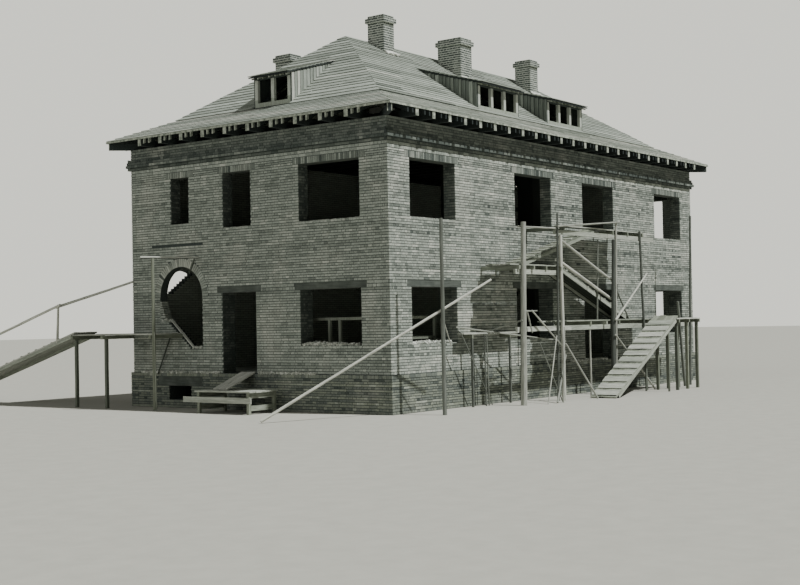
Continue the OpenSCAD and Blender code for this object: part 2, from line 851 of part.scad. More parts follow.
module dormer_frame(d) {
    left = d[0] - d[1] / 2;
    step = (d[1] - post_w) / d[2];
    z_base = roof_z(d, d[3]);
    z_head = dormer_z(d, d[3]) - steep(dormer_board_t, dormer_pitch / 1000);
    down = steep(dormer_board_t, dormer_pitch / 1000);
    // Posts, cut to the slope at their feet and to the dormer's roof at their heads
    translate([left, 0, 0]) {
        for (i = [0 : d[2]])
            along_eave([
                [d[3], z_base], [d[3] + post_d, z_base + d[4] * post_d],
                [d[3] + post_d, z_head + dormer_pitch / 1000 * post_d], [d[3], z_head]
            ], i * step, i * step + post_w);
        // Beam over the openings and sill beam under them
        along_eave([
            [d[3], z_head - beam_h], [d[3] + post_d, z_head - beam_h],
            [d[3] + post_d, z_head + dormer_pitch / 1000 * post_d], [d[3], z_head]
        ], 0, d[1]);
        along_eave([
            [d[3], z_base], [d[3] + post_d, z_base + d[4] * post_d],
            [d[3] + post_d, z_base + beam_h + 40], [d[3], z_base + beam_h + 40]
        ], 0, d[1]);
        // Boarded cheeks
        for (side = [0, 1])
            along_eave([
                [d[3], z_base], [dormer_meets(d, down), roof_z(d, dormer_meets(d, down))], [d[3], z_head]
            ], side * (d[1] + cheek_t) - cheek_t, side * (d[1] + cheek_t));
    }
}
module dormer_roof(d) {
    left = d[0] - d[1] / 2 - dormer_verge;
    start = d[3] - dormer_eave;
    down = steep(dormer_board_t, dormer_pitch / 1000);
    along_eave([
        [start, dormer_z(d, start) - down], [start, dormer_z(d, start)],
        [dormer_meets(d, 0), roof_z(d, dormer_meets(d, 0))],
        [dormer_meets(d, down), roof_z(d, dormer_meets(d, down))]
    ], left, left + d[1] + 2 * dormer_verge);
}
module dormer_front_left() {
    color(timber) on_front() dormer_frame(dormer_a);
}
module dormer_front_right() {
    color(timber) on_front() dormer_frame(dormer_b);
}
module dormer_side() {
    color(timber) on_left() dormer_frame(dormer_c);
}
module dormer_roof_front_left() {
    color(timber_grey) on_front() dormer_roof(dormer_a);
}
module dormer_roof_front_right() {
    color(timber_grey) on_front() dormer_roof(dormer_b);
}
module dormer_roof_side() {
    color(timber_grey) on_left() dormer_roof(dormer_c);
}

// Brick stack from the ground, with a projecting cap and open flues
module stack(s, flues) {
    flue_w = (s[3] - flue_wall * (flues + 1)) / flues;
    on_front() translate([s[0], s[1], 0]) difference() {
        union() {
            cube([s[2], s[3], s[4]]);
            translate([-cap_out, -cap_out, s[4] - cap_top_h - cap_h])
                cube([s[2] + 2 * cap_out, s[3] + 2 * cap_out, cap_h]);
        }
        for (i = [0 : flues - 1])
            translate([flue_wall, flue_wall + i * (flue_w + flue_wall), s[4] - flue_depth])
                cube([s[2] - 2 * flue_wall, flue_w, flue_depth + cut]);
    }
}
module chimney_near() {
    color(brick) stack(stack_near, 1);
}
module chimney_middle() {
    color(brick) stack(stack_middle, 2);
}
module chimney_far() {
    color(brick) stack(stack_far, 1);
}
module chimney_back() {
    color(brick) stack(stack_back, 1);
}

// Round pole between two points
module pole(p, q, d) {
    v = q - p;
    len = norm(v);
    translate(p) rotate([0, acos(v[2] / len), atan2(v[1], v[0])]) cylinder(d = d, h = len, $fn = 16);
}

// Upright pole that leans along the front and stands on the rim of its foot
module upright(foot, head, top, d) {
    lean = atan2(abs(head - foot), top);
    axis = -pole_line - d / 2;
    pole([foot, axis, d / 2 * sin(lean)], [head, axis, top], d);
}

// Distance of the poles' inner sides and the ledgers' outer sides from the wall
pole_line = gang_out - 100;
// Gangway poles as [foot and head along the front, top height, diameter]
gang_poles = [
    [560, 545, 5150, 110], [4460, 4620, 5250, 175],
    [6500, 6680, 5610, 70], [6800, 6790, 4970, 120],
    [9930, 10160, 4950, 150], [10200, 10430, 5530, 75],
    [12360, 12100, 5310, 90], [15830, 16170, 6030, 90]
];
// Thin leg under the lowest ledger, and the legs of the low shelf, along the front
thin_leg = 8680;
shelf_legs = [3300, 5300];
function deck_under(h) = h - deck_t - putlog_h;
ledger_w = 80;

// Boards of a deck, laid along the wall, as [start, end] from the outer one in
board_gap = 20;
function board_w(n) = (deck_w - board_gap * (n - 1)) / n;
module deck(boards, h) {
    n = len(boards);
    for (i = [0 : n - 1])
        translate([boards[i][0], -pole_line + i * (board_w(n) + board_gap), h - deck_t])
            cube([boards[i][1] - boards[i][0], board_w(n), deck_t]);
}
// Cross bearers of a deck, from the ledger to the wall
module putlogs(places, h) {
    for (at = places)
        translate([at - 40, -pole_line, deck_under(h)]) cube([80, pole_line, putlog_h]);
}
// Bearers of the lowest deck, which end on the brickwork between the openings
low_putlogs = [
    long_at[1] + window_w + 120, building_l / 2, long_at[2] - 120,
    long_at[2] + window_w + 120, long_at[2] + window_w + 1000, long_at[3] - 120
];
function spaced(start, end, n) = [for (i = [0 : n - 1]) start + i * (end - start) / (n - 1)];
module ledger(start, end, h) {
    translate([start, -pole_line, deck_under(h) - ledger_h]) cube([end - start, ledger_w, ledger_h]);
}
shelf_w = 380;
shelf_h = 2095;
shelf = [2900, 5840];

module gangway_poles() {
    color(timber) on_front() {
        for (p = gang_poles)
            upright(p[0], p[1], p[2], p[3]);
        translate([thin_leg, -pole_line + ledger_w / 2, 0])
            cylinder(d = 60, h = deck_under(deck_1_h) - ledger_h, $fn = 16);
        for (x = shelf_legs)
            translate([x, -shelf_w, 0]) cube([60, 60, shelf_h - deck_t - putlog_h]);
    }
}
deck_1 = [[7200, 16300], [7200, 14000], [7200, 14000], [7200, 14000]];
deck_2 = [[3950, 6950], [4050, 7600], [3900, 7600], [4300, 7600]];
deck_3 = [[6900, 12350], [9600, 12350], [10200, 12350], [10200, 12350]];
module gangway_ledgers() {
    color(timber) on_front() {
        ledger(4350, 16300, deck_1_h);
        ledger(4300, 6860, deck_2_h);
        ledger(6600, 13200, deck_3_h);
    }
}
module gangway_putlogs() {
    color(timber) on_front() {
        putlogs(low_putlogs, deck_1_h);
        putlogs(spaced(4420, 6750, 4), deck_2_h);
        putlogs(spaced(10300, 12250, 3), deck_3_h);
        putlogs([7000], deck_3_h);
        for (x = shelf_legs)
            translate([x, -shelf_w, shelf_h - deck_t - putlog_h]) cube([60, shelf_w, putlog_h]);
    }
}
module gangway_decks() {
    color(timber_grey) on_front() {
        deck(deck_1, deck_1_h);
        deck(deck_2, deck_2_h);
        deck(deck_3, deck_3_h);
        // Low shelf along the wall, left of the decks
        translate([shelf[0], -shelf_w, shelf_h - deck_t])
            cube([shelf[1] - shelf[0], shelf_w, deck_t]);
    }
}
bearer_h = 100;
// Sloping walkway with cleats, whose planks rise from a lower surface and lie over an upper one
module walkway(x0, z0, x1, z1, y0, w) {
    turn = atan2(z1 - z0, abs(x1 - x0));
    len = norm([x1 - x0, z1 - z0]);
    foot = bearer_h / tan(turn);
    head = len - (bearer_h + deck_t) * tan(turn) - 10;
    lap = 150;
    cleats = floor((len - 200) / cleat_gap);
    translate([x0, y0, z0]) mirror([x1 < x0 ? 1 : 0, 0, 0]) rotate([0, -turn, 0]) {
        cube([len + lap, w, deck_t]);
        for (side = [0, 1])
            translate([foot, side * (w - 60), -bearer_h]) cube([head - foot, 60, bearer_h + cut]);
        for (i = [0 : cleats - 1])
            translate([200 + i * cleat_gap, 0, deck_t - cut]) cube([50, w, 30 + cut]);
    }
}
ramp_start = 8070;
ramp_end = 12500;
ramp_bite = 4;
landing_l = 1900;
// Leg of the ramp, cut to the slope under a bearer
module ramp_leg(x, y) {
    rise = (deck_1_h - ramp_bite) / (ramp_end - ramp_start);
    function under(at) = rise * (at - ramp_start) - steep(bearer_h, rise) + ramp_bite;
    translate([0, y + 50, 0]) rotate([90, 0, 0]) linear_extrude(height = 50)
        polygon([[x, 0], [x + 60, 0], [x + 60, under(x + 60)], [x, under(x)]]);
}
module gangway_ramp() {
    y0 = -pole_line - 250 - ramp_w;
    leg = 90;
    color(timber_grey) on_front() {
        walkway(ramp_start, 0, ramp_end, deck_1_h - ramp_bite, y0, ramp_w);
        ramp_leg(ramp_end - 690, y0 + 5);
        ramp_leg(ramp_end - 690, y0 + ramp_w - 55);
        // Landing at the head of the ramp, on six legs
        translate([ramp_end, y0, deck_1_h - deck_t]) cube([landing_l, ramp_w + 130, deck_t]);
        for (x = [150, 950, landing_l - 150], y = [y0 + 100, y0 + ramp_w - 100])
            translate([ramp_end + x, y, 0]) cube([leg, leg, deck_1_h - deck_t]);
    }
}
module gangway_walkways() {
    color(timber_grey) on_front() {
        walkway(12330, deck_1_h, deck_2[1][1], deck_2_h, -stair_w - 140, stair_w);
        walkway(5400, deck_2_h, deck_3[2][0], deck_3_h, -walk_w - 120, walk_w);
    }
}
// Rails behind the poles, and one in front of them
module rail(x0, z0, x1, z1, d) {
    pole([x0, -pole_line + d / 2, z0], [x1, -pole_line + d / 2, z1], d);
}
module gangway_rails() {
    color(timber) on_front() {
        rail(6720, deck_3_h - 362, 10250, deck_1_h + 1240, 90);
        rail(6720, deck_2_h + 188, 10250, deck_1_h + 630, 110);
        rail(4520, deck_3_h - 160, 6850, deck_3_h - 110, 60);
        pole([6550, -pole_line - 105, deck_3_h - 70], [10560, -pole_line - 106, deck_3_h + 250], 60);
        // Two low poles that lie on the shelf's edge and bear on the gangway poles
        pole([3010, -30, shelf_h + 168], [7000, -pole_line - 34, shelf_h - 332], 50);
        pole([4600, -120, shelf_h + 27], [4415, -pole_line - 120, shelf_h + 335], 50);
    }
}
// Raking braces before and between the gangway poles, and a long pole that leans on the first one
module gangway_braces() {
    front_side = -pole_line - 185;
    color(timber) on_front() {
        pole([-3516, 1456, 36], [1803, -2019, 3530], 80);
        pole([10000, front_side, deck_1_h - 20], [12420, -pole_line - 122, deck_2_h - 150], 70);
        rail(10320, deck_1_h + 1160, 11300, deck_1_h + 24, 60);
        pole([12700, front_side, 30], [9950, front_side, 1900], 70);
        pole([5550, -1800, 22], [6790, -pole_line - 151, 1350], 60);
        pole([7800, -1900, 17], [6800, -pole_line - 151, 1700], 60);
    }
}

// Low landing of boards before the side door, with planks up to its sill
module door_landing() {
    h = 640;
    near = 3650;
    far = 5850;
    out = 1550;
    in = 350;
    color(timber_grey) on_left() {
        translate([near, -out, h - deck_t]) cube([far - near, out - in, deck_t]);
        for (at = [near + 100, far - 190])
            translate([at, -out + 50, 0]) cube([90, out - in - 100, h - deck_t]);
        // Planks that rest on the landing and on the edge of the plinth
        translate([door_at + 60, -out + 380, h])
            rotate([atan2(z_floor - h, out - 380 - plinth_out), 0, 0])
                cube([550, norm([z_floor - h, out - 380 - plinth_out]) + 40, deck_t]);
    }
}

// Trestle frame on the floor of the corner room, seen through its windows
module inner_trestle() {
    bar = 80;
    a = 900;
    b = 3750;
    c = 4150;
    top = z_floor + 1560;
    color(timber) on_front() {
        translate([a, a, top - bar]) cube([b - a, bar, bar]);
        translate([a, a, top - bar]) cube([bar, c - a, bar]);
        translate([a, a, top - 650]) cube([b - a, bar, bar]);
        for (p = [[a, a], [b - bar, a], [3300, a], [a, 2450], [a, 2830], [a, c - bar]])
            translate([p[0], p[1], z_floor]) cube([bar, bar, top - z_floor]);
    }
}

side_deck_at = 7840;
side_deck_l = 3760;
side_pole_at = 7810;
side_pole_h = 4450;
module side_deck() {
    under = side_deck_h - deck_t;
    pole_d = 110;
    inner = side_out - pole_d / 2 - 10;
    color(timber_grey) on_left() {
        translate([side_deck_at, -inner, under]) cube([side_deck_l, inner, deck_t]);
        for (at = [side_pole_at + pole_d / 2 - cut, 10000, side_deck_at + side_deck_l - 200])
            translate([at, -side_out - 80, under - putlog_h]) cube([90, side_out + 80, putlog_h]);
        for (at = [10000, side_deck_at + side_deck_l - 200])
            translate([at, -inner, 0]) cube([90, 90, under - putlog_h + cut]);
        // Pole beside the near bearer, with a bar from its head to the wall over the arch
        translate([side_pole_at, -side_out, 0]) cylinder(d = pole_d, h = side_pole_h, $fn = 24);
        pole([side_pole_at + 200, -side_out - 300, side_pole_h + 30], [7120, -19, side_pole_h + 30], 70);
    }
}
module side_ramp() {
    color(timber_grey) on_left()
        walkway(19400, 0, side_deck_at + side_deck_l, side_deck_h, -side_out + 65, ramp_w);
}

plinth_front();
plinth_back();
plinth_left();
plinth_right();
ground_wall_front();
ground_wall_back();
ground_wall_left();
ground_wall_right();
upper_wall_front();
upper_wall_back();
upper_wall_left();
upper_wall_right();
ground_lintels();
upper_lintels();
arch_rings();
string_course_long();
string_course_short();
cellar_floor();
ground_floor();
upper_floor();
attic_joists();
lookouts();
rafters_long();
rafters_ends();
sprockets();
hip_rafters();
ridge_board();
roof_front();
roof_back();
roof_left();
roof_right();
dormer_front_left();
dormer_front_right();
dormer_side();
dormer_roof_front_left();
dormer_roof_front_right();
dormer_roof_side();
chimney_near();
chimney_middle();
chimney_far();
chimney_back();
gangway_poles();
gangway_ledgers();
gangway_putlogs();
gangway_decks();
gangway_ramp();
gangway_walkways();
gangway_rails();
gangway_braces();
side_deck();
side_ramp();
door_landing();
inner_trestle();
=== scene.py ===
"""Looks of a two-storey station building in unfinished brickwork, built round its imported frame."""
import math
import random

import bpy
from mathutils import Matrix, Vector


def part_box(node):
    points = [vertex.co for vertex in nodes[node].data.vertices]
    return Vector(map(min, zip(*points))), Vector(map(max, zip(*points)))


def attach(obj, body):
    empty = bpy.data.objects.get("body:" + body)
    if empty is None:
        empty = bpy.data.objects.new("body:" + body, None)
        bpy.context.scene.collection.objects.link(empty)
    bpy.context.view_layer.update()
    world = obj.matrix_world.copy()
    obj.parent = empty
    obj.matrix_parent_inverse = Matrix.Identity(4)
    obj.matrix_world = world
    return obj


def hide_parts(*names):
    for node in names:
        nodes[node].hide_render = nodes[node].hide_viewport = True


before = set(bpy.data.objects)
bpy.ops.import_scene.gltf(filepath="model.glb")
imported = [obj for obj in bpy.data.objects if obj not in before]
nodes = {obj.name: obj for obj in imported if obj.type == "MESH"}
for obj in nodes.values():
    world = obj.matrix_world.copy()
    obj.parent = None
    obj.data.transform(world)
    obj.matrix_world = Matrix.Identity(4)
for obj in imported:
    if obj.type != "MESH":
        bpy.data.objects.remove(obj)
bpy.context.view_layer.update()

# Main sizes in metres, read from the frame
wall_low, wall_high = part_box("ground_wall_front")
length = wall_high.x - wall_low.x
width = -2 * wall_low.y
ground_wall_t = wall_high.y - wall_low.y
upper_wall_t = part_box("upper_wall_front")[1].y - wall_low.y
plinth_out = wall_low.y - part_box("plinth_front")[0].y
z_floor = wall_low.z
z_upper_wall = wall_high.z
z_upper_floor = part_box("upper_floor")[1].z
z_wall_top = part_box("upper_wall_front")[1].z
z_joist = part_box("attic_joists")[1].z
eave_out = -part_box("roof_front")[0].y - width / 2
z_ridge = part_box("roof_front")[1].z
wall_length = {"front": length, "back": length, "left": width, "right": width}
long_walls = ("front", "back")

# Openings, as in the frame
window_w = 2.18
corner_pier = 0.96
centre_pier = 2.04
ground_sill, ground_head = z_floor + 0.78, z_floor + 2.35
upper_sill, upper_head = z_upper_floor + 0.80, z_upper_floor + 2.41
small_window_lift = 0.20
lintel_h = 0.19
lintel_bearing = 0.20
mid_window = (4.98, 6.09)
small_window = (7.52, 8.28)
far_small_window = (7.65, 8.41)
back_window_w = 1.50
back_at = [5.42, 11.46, length - corner_pier - back_window_w]
side_door = (4.82, 6.17)
arch_r = 0.90
arch_pier = 1.23
back_arch_pier = 1.00
arch_leaf = 0.25
arch_sill = z_floor + 0.71
arch_spring = z_floor + 2.28
arch_ring_h = 0.25
rack_h, rack_gap, rack_top = 0.80, 0.48, 0.35
back_rack_h, back_rack_gap, back_rack_l = 1.72, 0.45, 1.07
side_arch_at = width - arch_pier - 2 * arch_r
cellar_window = (7.46, 8.41, 0.24, 0.66)
cellar_lintel = (6.98, 8.89, 0.66, 0.94)
# Where a course was left out of the end wall, as (left, right, lower, upper)
missing_course = (6.94, 9.15, 4.86, 4.93)
string_at = z_upper_wall + 3.04
string_step_h = 0.085
string_steps = (1, 3, 2, 1)
string_out = 0.12

# Roof
board_t = 0.05
kink_in = 1.548
kink_at = kink_in - eave_out
z_kink = z_joist + 0.71
ridge_inset = 4.53
front_slope = (z_ridge - z_kink) / (width / 2 - kink_at)
end_slope = (z_ridge - z_kink) / (ridge_inset - kink_at)
stacks = [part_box("chimney_" + name) for name in ("near", "middle", "far", "back")]
stack_cap_out, stack_cap_foot, stack_cap_top = 0.06, 0.235, 0.085

# Dormers, with the heights of their sill and of their posts above the kink
front_dormer_w, side_dormer_w = 2.35, 1.42
dormer_h, dormer_pitch, dormer_eave, dormer_verge, cheek_t = 0.94, 0.29, 0.20, 0.07, 0.03
dormer_sill_top, dormer_post_top = 0.27, 0.862

# Brick sizes, and how far a laid brick stands out of the wall face and reaches into it
brick_l, brick_w, brick_h = 0.25, 0.12, 0.058
bed, joint = 0.018, 0.009
course = brick_h + bed
proud, set_in = 0.010, 0.04

# How bricks differ in tone: by course, by the lot they came in, and each from the next
course_spread, lot_spread, brick_spread, new_lot = 0.10, 0.12, 0.13, 0.06

# Sawn planks: half the gap between two, and the depth to which feet go before they are cut flat
half_gap, sunk = 0.004, -0.02

# Left edges of the long sides' openings
long_at = [
    corner_pier, (length - centre_pier) / 2 - window_w,
    (length + centre_pier) / 2, length - corner_pier - window_w,
]


def window(at, w, low, high):
    """An opening as (left edge, right edge, lower edge, upper edge)."""
    return (at, at + w, low, high)


def end_upper(small):
    """The upper openings of an end wall, whose last window is small."""
    return [
        window(corner_pier, window_w, upper_sill, upper_head), (*mid_window, upper_sill, upper_head),
        (*small, upper_sill + small_window_lift, upper_head),
    ]


back_widths = (window_w, window_w, back_window_w)
holes = {
    "front": [
        window(at, window_w, z_floor if i == 2 else ground_sill, ground_head)
        for i, at in enumerate(long_at)
    ] + [window(at, window_w, upper_sill, upper_head) for at in long_at],
    "back": [
        window(at, w, z_floor if i == 1 else ground_sill, ground_head)
        for i, (at, w) in enumerate(zip(back_at, back_widths))
    ] + [window(at, w, upper_sill, upper_head) for at, w in zip(back_at, back_widths)],
    "left": [
        window(corner_pier, window_w, ground_sill, ground_head), (*side_door, z_floor, ground_head),
    ] + end_upper(small_window),
    "right": [
        window(corner_pier, window_w, ground_sill, ground_head),
        (*mid_window, ground_sill, ground_head), (*far_small_window, ground_sill, ground_head),
    ] + end_upper(far_small_window),
}
arches = {"left": side_arch_at, "back": back_arch_pier}


def on_wall(wall, u, v, z):
    """The point u along a wall from its left or front corner, v into the building and z up."""
    if wall == "front":
        return Vector((u - length / 2, v - width / 2, z))
    if wall == "back":
        return Vector((u - length / 2, width / 2 - v, z))
    if wall == "left":
        return Vector((v - length / 2, u - width / 2, z))
    return Vector((length / 2 - v, u - width / 2, z))


def way(wall, u, v, z=0):
    """The direction of a step along a wall, into the building and up."""
    return on_wall(wall, u, v, z) - on_wall(wall, 0, 0, 0)


def turn_to(x_axis, y_axis):
    """The turn of a template whose length lies along the first axis and whose width along the second."""
    return Matrix((x_axis, y_axis, x_axis.cross(y_axis))).transposed().to_euler()


def toned(dice, middle, spread, drift=0.0):
    """A tone drawn round a middle one, kept between 0 and 1."""
    return min(1, max(0, dice.gauss(middle, spread) + drift))


def linear(text):
    """An sRGB hex colour as linear red, green, blue and alpha."""
    values = [int(text[i:i + 2], 16) / 255 for i in (1, 3, 5)]
    return [v / 12.92 if v <= 0.04045 else ((v + 0.055) / 1.055) ** 2.4 for v in values] + [1.0]


def add(tree, kind, links=None, stops=(), **settings):
    """Adds a node with its settings and colour stops, its inputs filled with values, hex colours or links."""
    node = tree.nodes.new(kind if "Node" in kind else "ShaderNode" + kind)
    for key, value in settings.items():
        setattr(node, key, value)
    for key, value in (links or {}).items():
        if isinstance(value, bpy.types.Node):
            value = next(output for output in value.outputs if output.enabled)
        if isinstance(value, bpy.types.NodeSocket):
            tree.links.new(value, node.inputs[key])
            continue
        is_hex = isinstance(value, str) and value.startswith("#")
        node.inputs[key].default_value = linear(value) if is_hex else value
    if stops:
        elements = node.color_ramp.elements
        while len(elements) < len(stops):
            elements.new(1.0)
        for element, (position, colour) in zip(elements, stops):
            element.position = position
            element.color = linear(colour)
    return node


def new_material(name):
    """An empty material, its node tree and the place on the piece in metres."""
    material = bpy.data.materials.new(name)
    material.use_nodes = True
    tree = material.node_tree
    tree.nodes.clear()
    return material, tree, add(tree, "TexCoord").outputs["Object"]


def complete(tree, roughness, colour, relief=None, depth=0.0):
    """The shader with its colour, and its relief of a depth in metres."""
    shader = add(tree, "BsdfPrincipled", {
        "Base Color": colour, "Roughness": roughness, "IOR": 1.5, "Specular IOR Level": 0.3,
    })
    if relief:
        raised = add(tree, "Bump", {"Height": relief, "Distance": depth, "Strength": 1.0})
        tree.links.new(raised.outputs[0], shader.inputs["Normal"])
    add(tree, "OutputMaterial", {0: shader})


def shade(tree, colour, amount, pattern, stops):
    """Darkens a colour by an amount where a pattern is low."""
    dark = add(tree, "ValToRGB", {0: pattern}, stops)
    return add(tree, "Mix", {0: amount, 6: colour, 7: dark}, data_type="RGBA", blend_type="MULTIPLY")


def change(tree, colour, value, test, limit, other):
    """Turns a colour into another one where a value is over or under a limit."""
    past = add(tree, "Math", {0: value, 1: limit}, operation=test)
    return add(tree, "Mix", {0: past, 6: colour, 7: other}, data_type="RGBA")


def fired_brick(name, stops, stain):
    """Fired clay brick: each its own tone, gritty, with lime bloom in patches on all but the darkest."""
    material, tree, place = new_material(name)
    tone = add(tree, "Attribute", attribute_name="tone").outputs["Fac"]
    # Grit of 2 mm is too fine to show, so it is drawn 35 mm across
    grit = add(tree, "TexNoise", {"Vector": place, "Scale": 1 / 0.035, "Detail": 4.0, "Roughness": 0.7})
    colour = add(tree, "ValToRGB", {0: tone}, stops)
    colour = shade(tree, colour, 0.5, grit, [(0.3, "#676b66"), (0.7, "#ffffff")])
    # Bloom comes where walls stayed wet, in patches 1.6 m across
    patches = add(tree, "TexNoise", {"Vector": place, "Scale": 1 / 1.6, "Detail": 5.0, "Roughness": 0.62})
    bloom = add(tree, "ValToRGB", {0: patches}, [(0.52, "#000000"), (0.78, "#ffffff")])
    bloom = add(tree, "Math", {0: bloom, 1: stain}, operation="MULTIPLY")
    share = add(tree, "Math", {0: tone, 1: 4.0}, operation="MULTIPLY")
    share = add(tree, "Math", {0: share, 1: 1.0}, operation="MINIMUM")
    bloom = add(tree, "Math", {0: bloom, 1: share}, operation="MULTIPLY")
    colour = add(tree, "Mix", {0: bloom, 6: colour, 7: "#ccccc0"}, data_type="RGBA")
    complete(tree, 0.92, colour, grit, 0.004)
    return material


def lime_mortar(name, stops, painted_shade_below=None):
    """Lime mortar round laid bricks, and bricks to scale on inner faces, painted dark below a height as
    painted shade if asked.
    """
    material, tree, place = new_material(name)
    at = add(tree, "SeparateXYZ", {0: place}).outputs
    facing = add(tree, "SeparateXYZ", {0: add(tree, "NewGeometry").outputs["Normal"]}).outputs
    across = add(tree, "Math", {0: facing["X"]}, operation="ABSOLUTE")
    across = add(tree, "Math", {0: across, 1: 0.5}, operation="GREATER_THAN")
    along = add(tree, "Mix", {0: across, 2: at["X"], 3: at["Y"]}, data_type="FLOAT")
    flat = add(tree, "CombineXYZ", {"X": along, "Y": at["Z"]})
    bricks = add(tree, "TexBrick", {
        "Vector": flat, "Scale": 1.0, "Mortar Size": joint / 2, "Bias": 0.0, "Brick Width": brick_l + joint,
        "Row Height": course, "Color1": stops[0], "Color2": stops[1], "Mortar": stops[2],
    })
    # Sand of 2 mm is too fine to show, so it is drawn 50 mm across
    grit = add(tree, "TexNoise", {"Vector": place, "Scale": 1 / 0.05, "Detail": 4.0, "Roughness": 0.7})
    mortar = add(tree, "ValToRGB", {0: grit}, [(0.25, stops[2]), (0.75, stops[3])])
    # Inner faces of outer walls look back over the middle of the building, from just behind the outer face
    inner = []
    for axis, limit in (("X", 0.83 - length / 2), ("Y", 0.71 - width / 2)):
        outward = add(tree, "Math", {0: facing[axis], 1: at[axis]}, operation="MULTIPLY")
        inner.append(add(tree, "Math", {0: outward, 1: limit}, operation="LESS_THAN"))
    inner = add(tree, "Math", {0: inner[0], 1: inner[1]}, operation="MAXIMUM")
    colour = add(tree, "Mix", {0: inner, 6: mortar, 7: bricks}, data_type="RGBA")
    # Below the given height a dark grey is painted, as painted shade inside the rooms
    if painted_shade_below:
        colour = change(tree, colour, at["Z"], "LESS_THAN", painted_shade_below, "#3a403b")
    complete(tree, 0.95, colour, grit, 0.006)
    return material


def timber(name, stops, along, grain=0.018, under=None):
    """Sawn softwood with its grain along an axis or along each board's own, with painted shade on its
    downward faces if asked.
    """
    material, tree, place = new_material(name)
    stretch = {"X": (0.06, 1, 1), "Y": (1, 0.06, 1), "Z": (1, 1, 0.06), "own": (0.05, 1, 1)}[along]
    if along == "own":
        lines = add(tree, "Attribute", attribute_name="grain").outputs["Vector"]
        tone = add(tree, "Attribute", attribute_name="tone").outputs["Fac"]
    else:
        # Frame timber changes its tone every 0.9 m or so
        lines = place
        tone = add(tree, "TexNoise", {"Vector": place, "Scale": 1 / 0.9, "Detail": 1.0, "Roughness": 0.6})
    lines = add(tree, "Mapping", {"Vector": lines, "Scale": stretch})
    # Year rings 2 mm apart are too fine to show, so the lines are drawn as wide as grain says
    fine = add(tree, "TexNoise", {"Vector": lines, "Scale": 1 / grain, "Detail": 3.0, "Roughness": 0.65})
    streak = grain * 8
    broad = add(tree, "TexNoise", {"Vector": lines, "Scale": 1 / streak, "Detail": 3.0, "Roughness": 0.55})
    colour = add(tree, "ValToRGB", {0: tone}, stops)
    colour = shade(tree, colour, 0.55, fine, [(0.32, "#6a6e65"), (0.62, "#ffffff")])
    colour = shade(tree, colour, 0.5, broad, [(0.3, "#858a81"), (0.7, "#ffffff")])
    # Faces turned downward take the dark colour as painted shade under the planks
    if under:
        facing = add(tree, "SeparateXYZ", {0: add(tree, "NewGeometry").outputs["Normal"]}).outputs["Z"]
        colour = change(tree, colour, facing, "LESS_THAN", -0.5, under)
    complete(tree, 0.85, colour, fine, 0.003)
    return material


def cast_lintel(name, stops):
    """Lintel poured in rough boards: cloudy, with faint board lines along its length."""
    material, tree, place = new_material(name)
    # Damp clouds 350 mm across, and lines 50 mm apart that the mould left
    clouds = add(tree, "TexNoise", {"Vector": place, "Scale": 1 / 0.35, "Detail": 5.0, "Roughness": 0.6})
    lines = add(tree, "Mapping", {"Vector": place, "Scale": (0.1, 0.1, 1)})
    lines = add(tree, "TexNoise", {"Vector": lines, "Scale": 1 / 0.05, "Detail": 2.0, "Roughness": 0.5})
    colour = add(tree, "ValToRGB", {0: clouds}, [(0.3, stops[0]), (0.7, stops[1])])
    colour = shade(tree, colour, 0.35, lines, [(0.35, "#727873"), (0.65, "#ffffff")])
    complete(tree, 0.9, colour, lines, 0.004)
    return material


def dormer_posts(name, across, middle, reach):
    """Dormer frames: pale posts under a head beam painted dark as painted shade, on a sill as grey as the
    roof, with cheeks painted dark as painted shade.
    """
    material, tree, place = new_material(name)
    at = add(tree, "SeparateXYZ", {0: place}).outputs
    aside = add(tree, "Math", {0: at[across]}, operation="ABSOLUTE")
    aside = add(tree, "Math", {0: aside, 1: middle}, operation="SUBTRACT")
    aside = add(tree, "Math", {0: aside}, operation="ABSOLUTE")
    # Saw marks of 3 mm are drawn 20 mm wide, to show
    lines = add(tree, "Mapping", {"Vector": place, "Scale": (1, 1, 0.08)})
    fine = add(tree, "TexNoise", {"Vector": lines, "Scale": 1 / 0.02, "Detail": 3.0, "Roughness": 0.6})
    # Posts pale; the head beam and the cheeks take the dark colour as painted shade under the dormer roof;
    # the sill grey
    colour, head, sill = (
        add(tree, "ValToRGB", {0: fine}, [(0.3, darker), (0.7, paler)])
        for darker, paler in (("#959c92", "#c6c9be"), ("#2e3634", "#505752"), ("#808776", "#a6ada3")))
    colour = change(tree, colour, at["Z"], "GREATER_THAN", z_kink + dormer_post_top, head)
    colour = change(tree, colour, at["Z"], "LESS_THAN", z_kink + dormer_sill_top, sill)
    colour = change(tree, colour, aside, "GREATER_THAN", reach - 0.004, head)
    complete(tree, 0.88, colour, fine, 0.003)
    return material


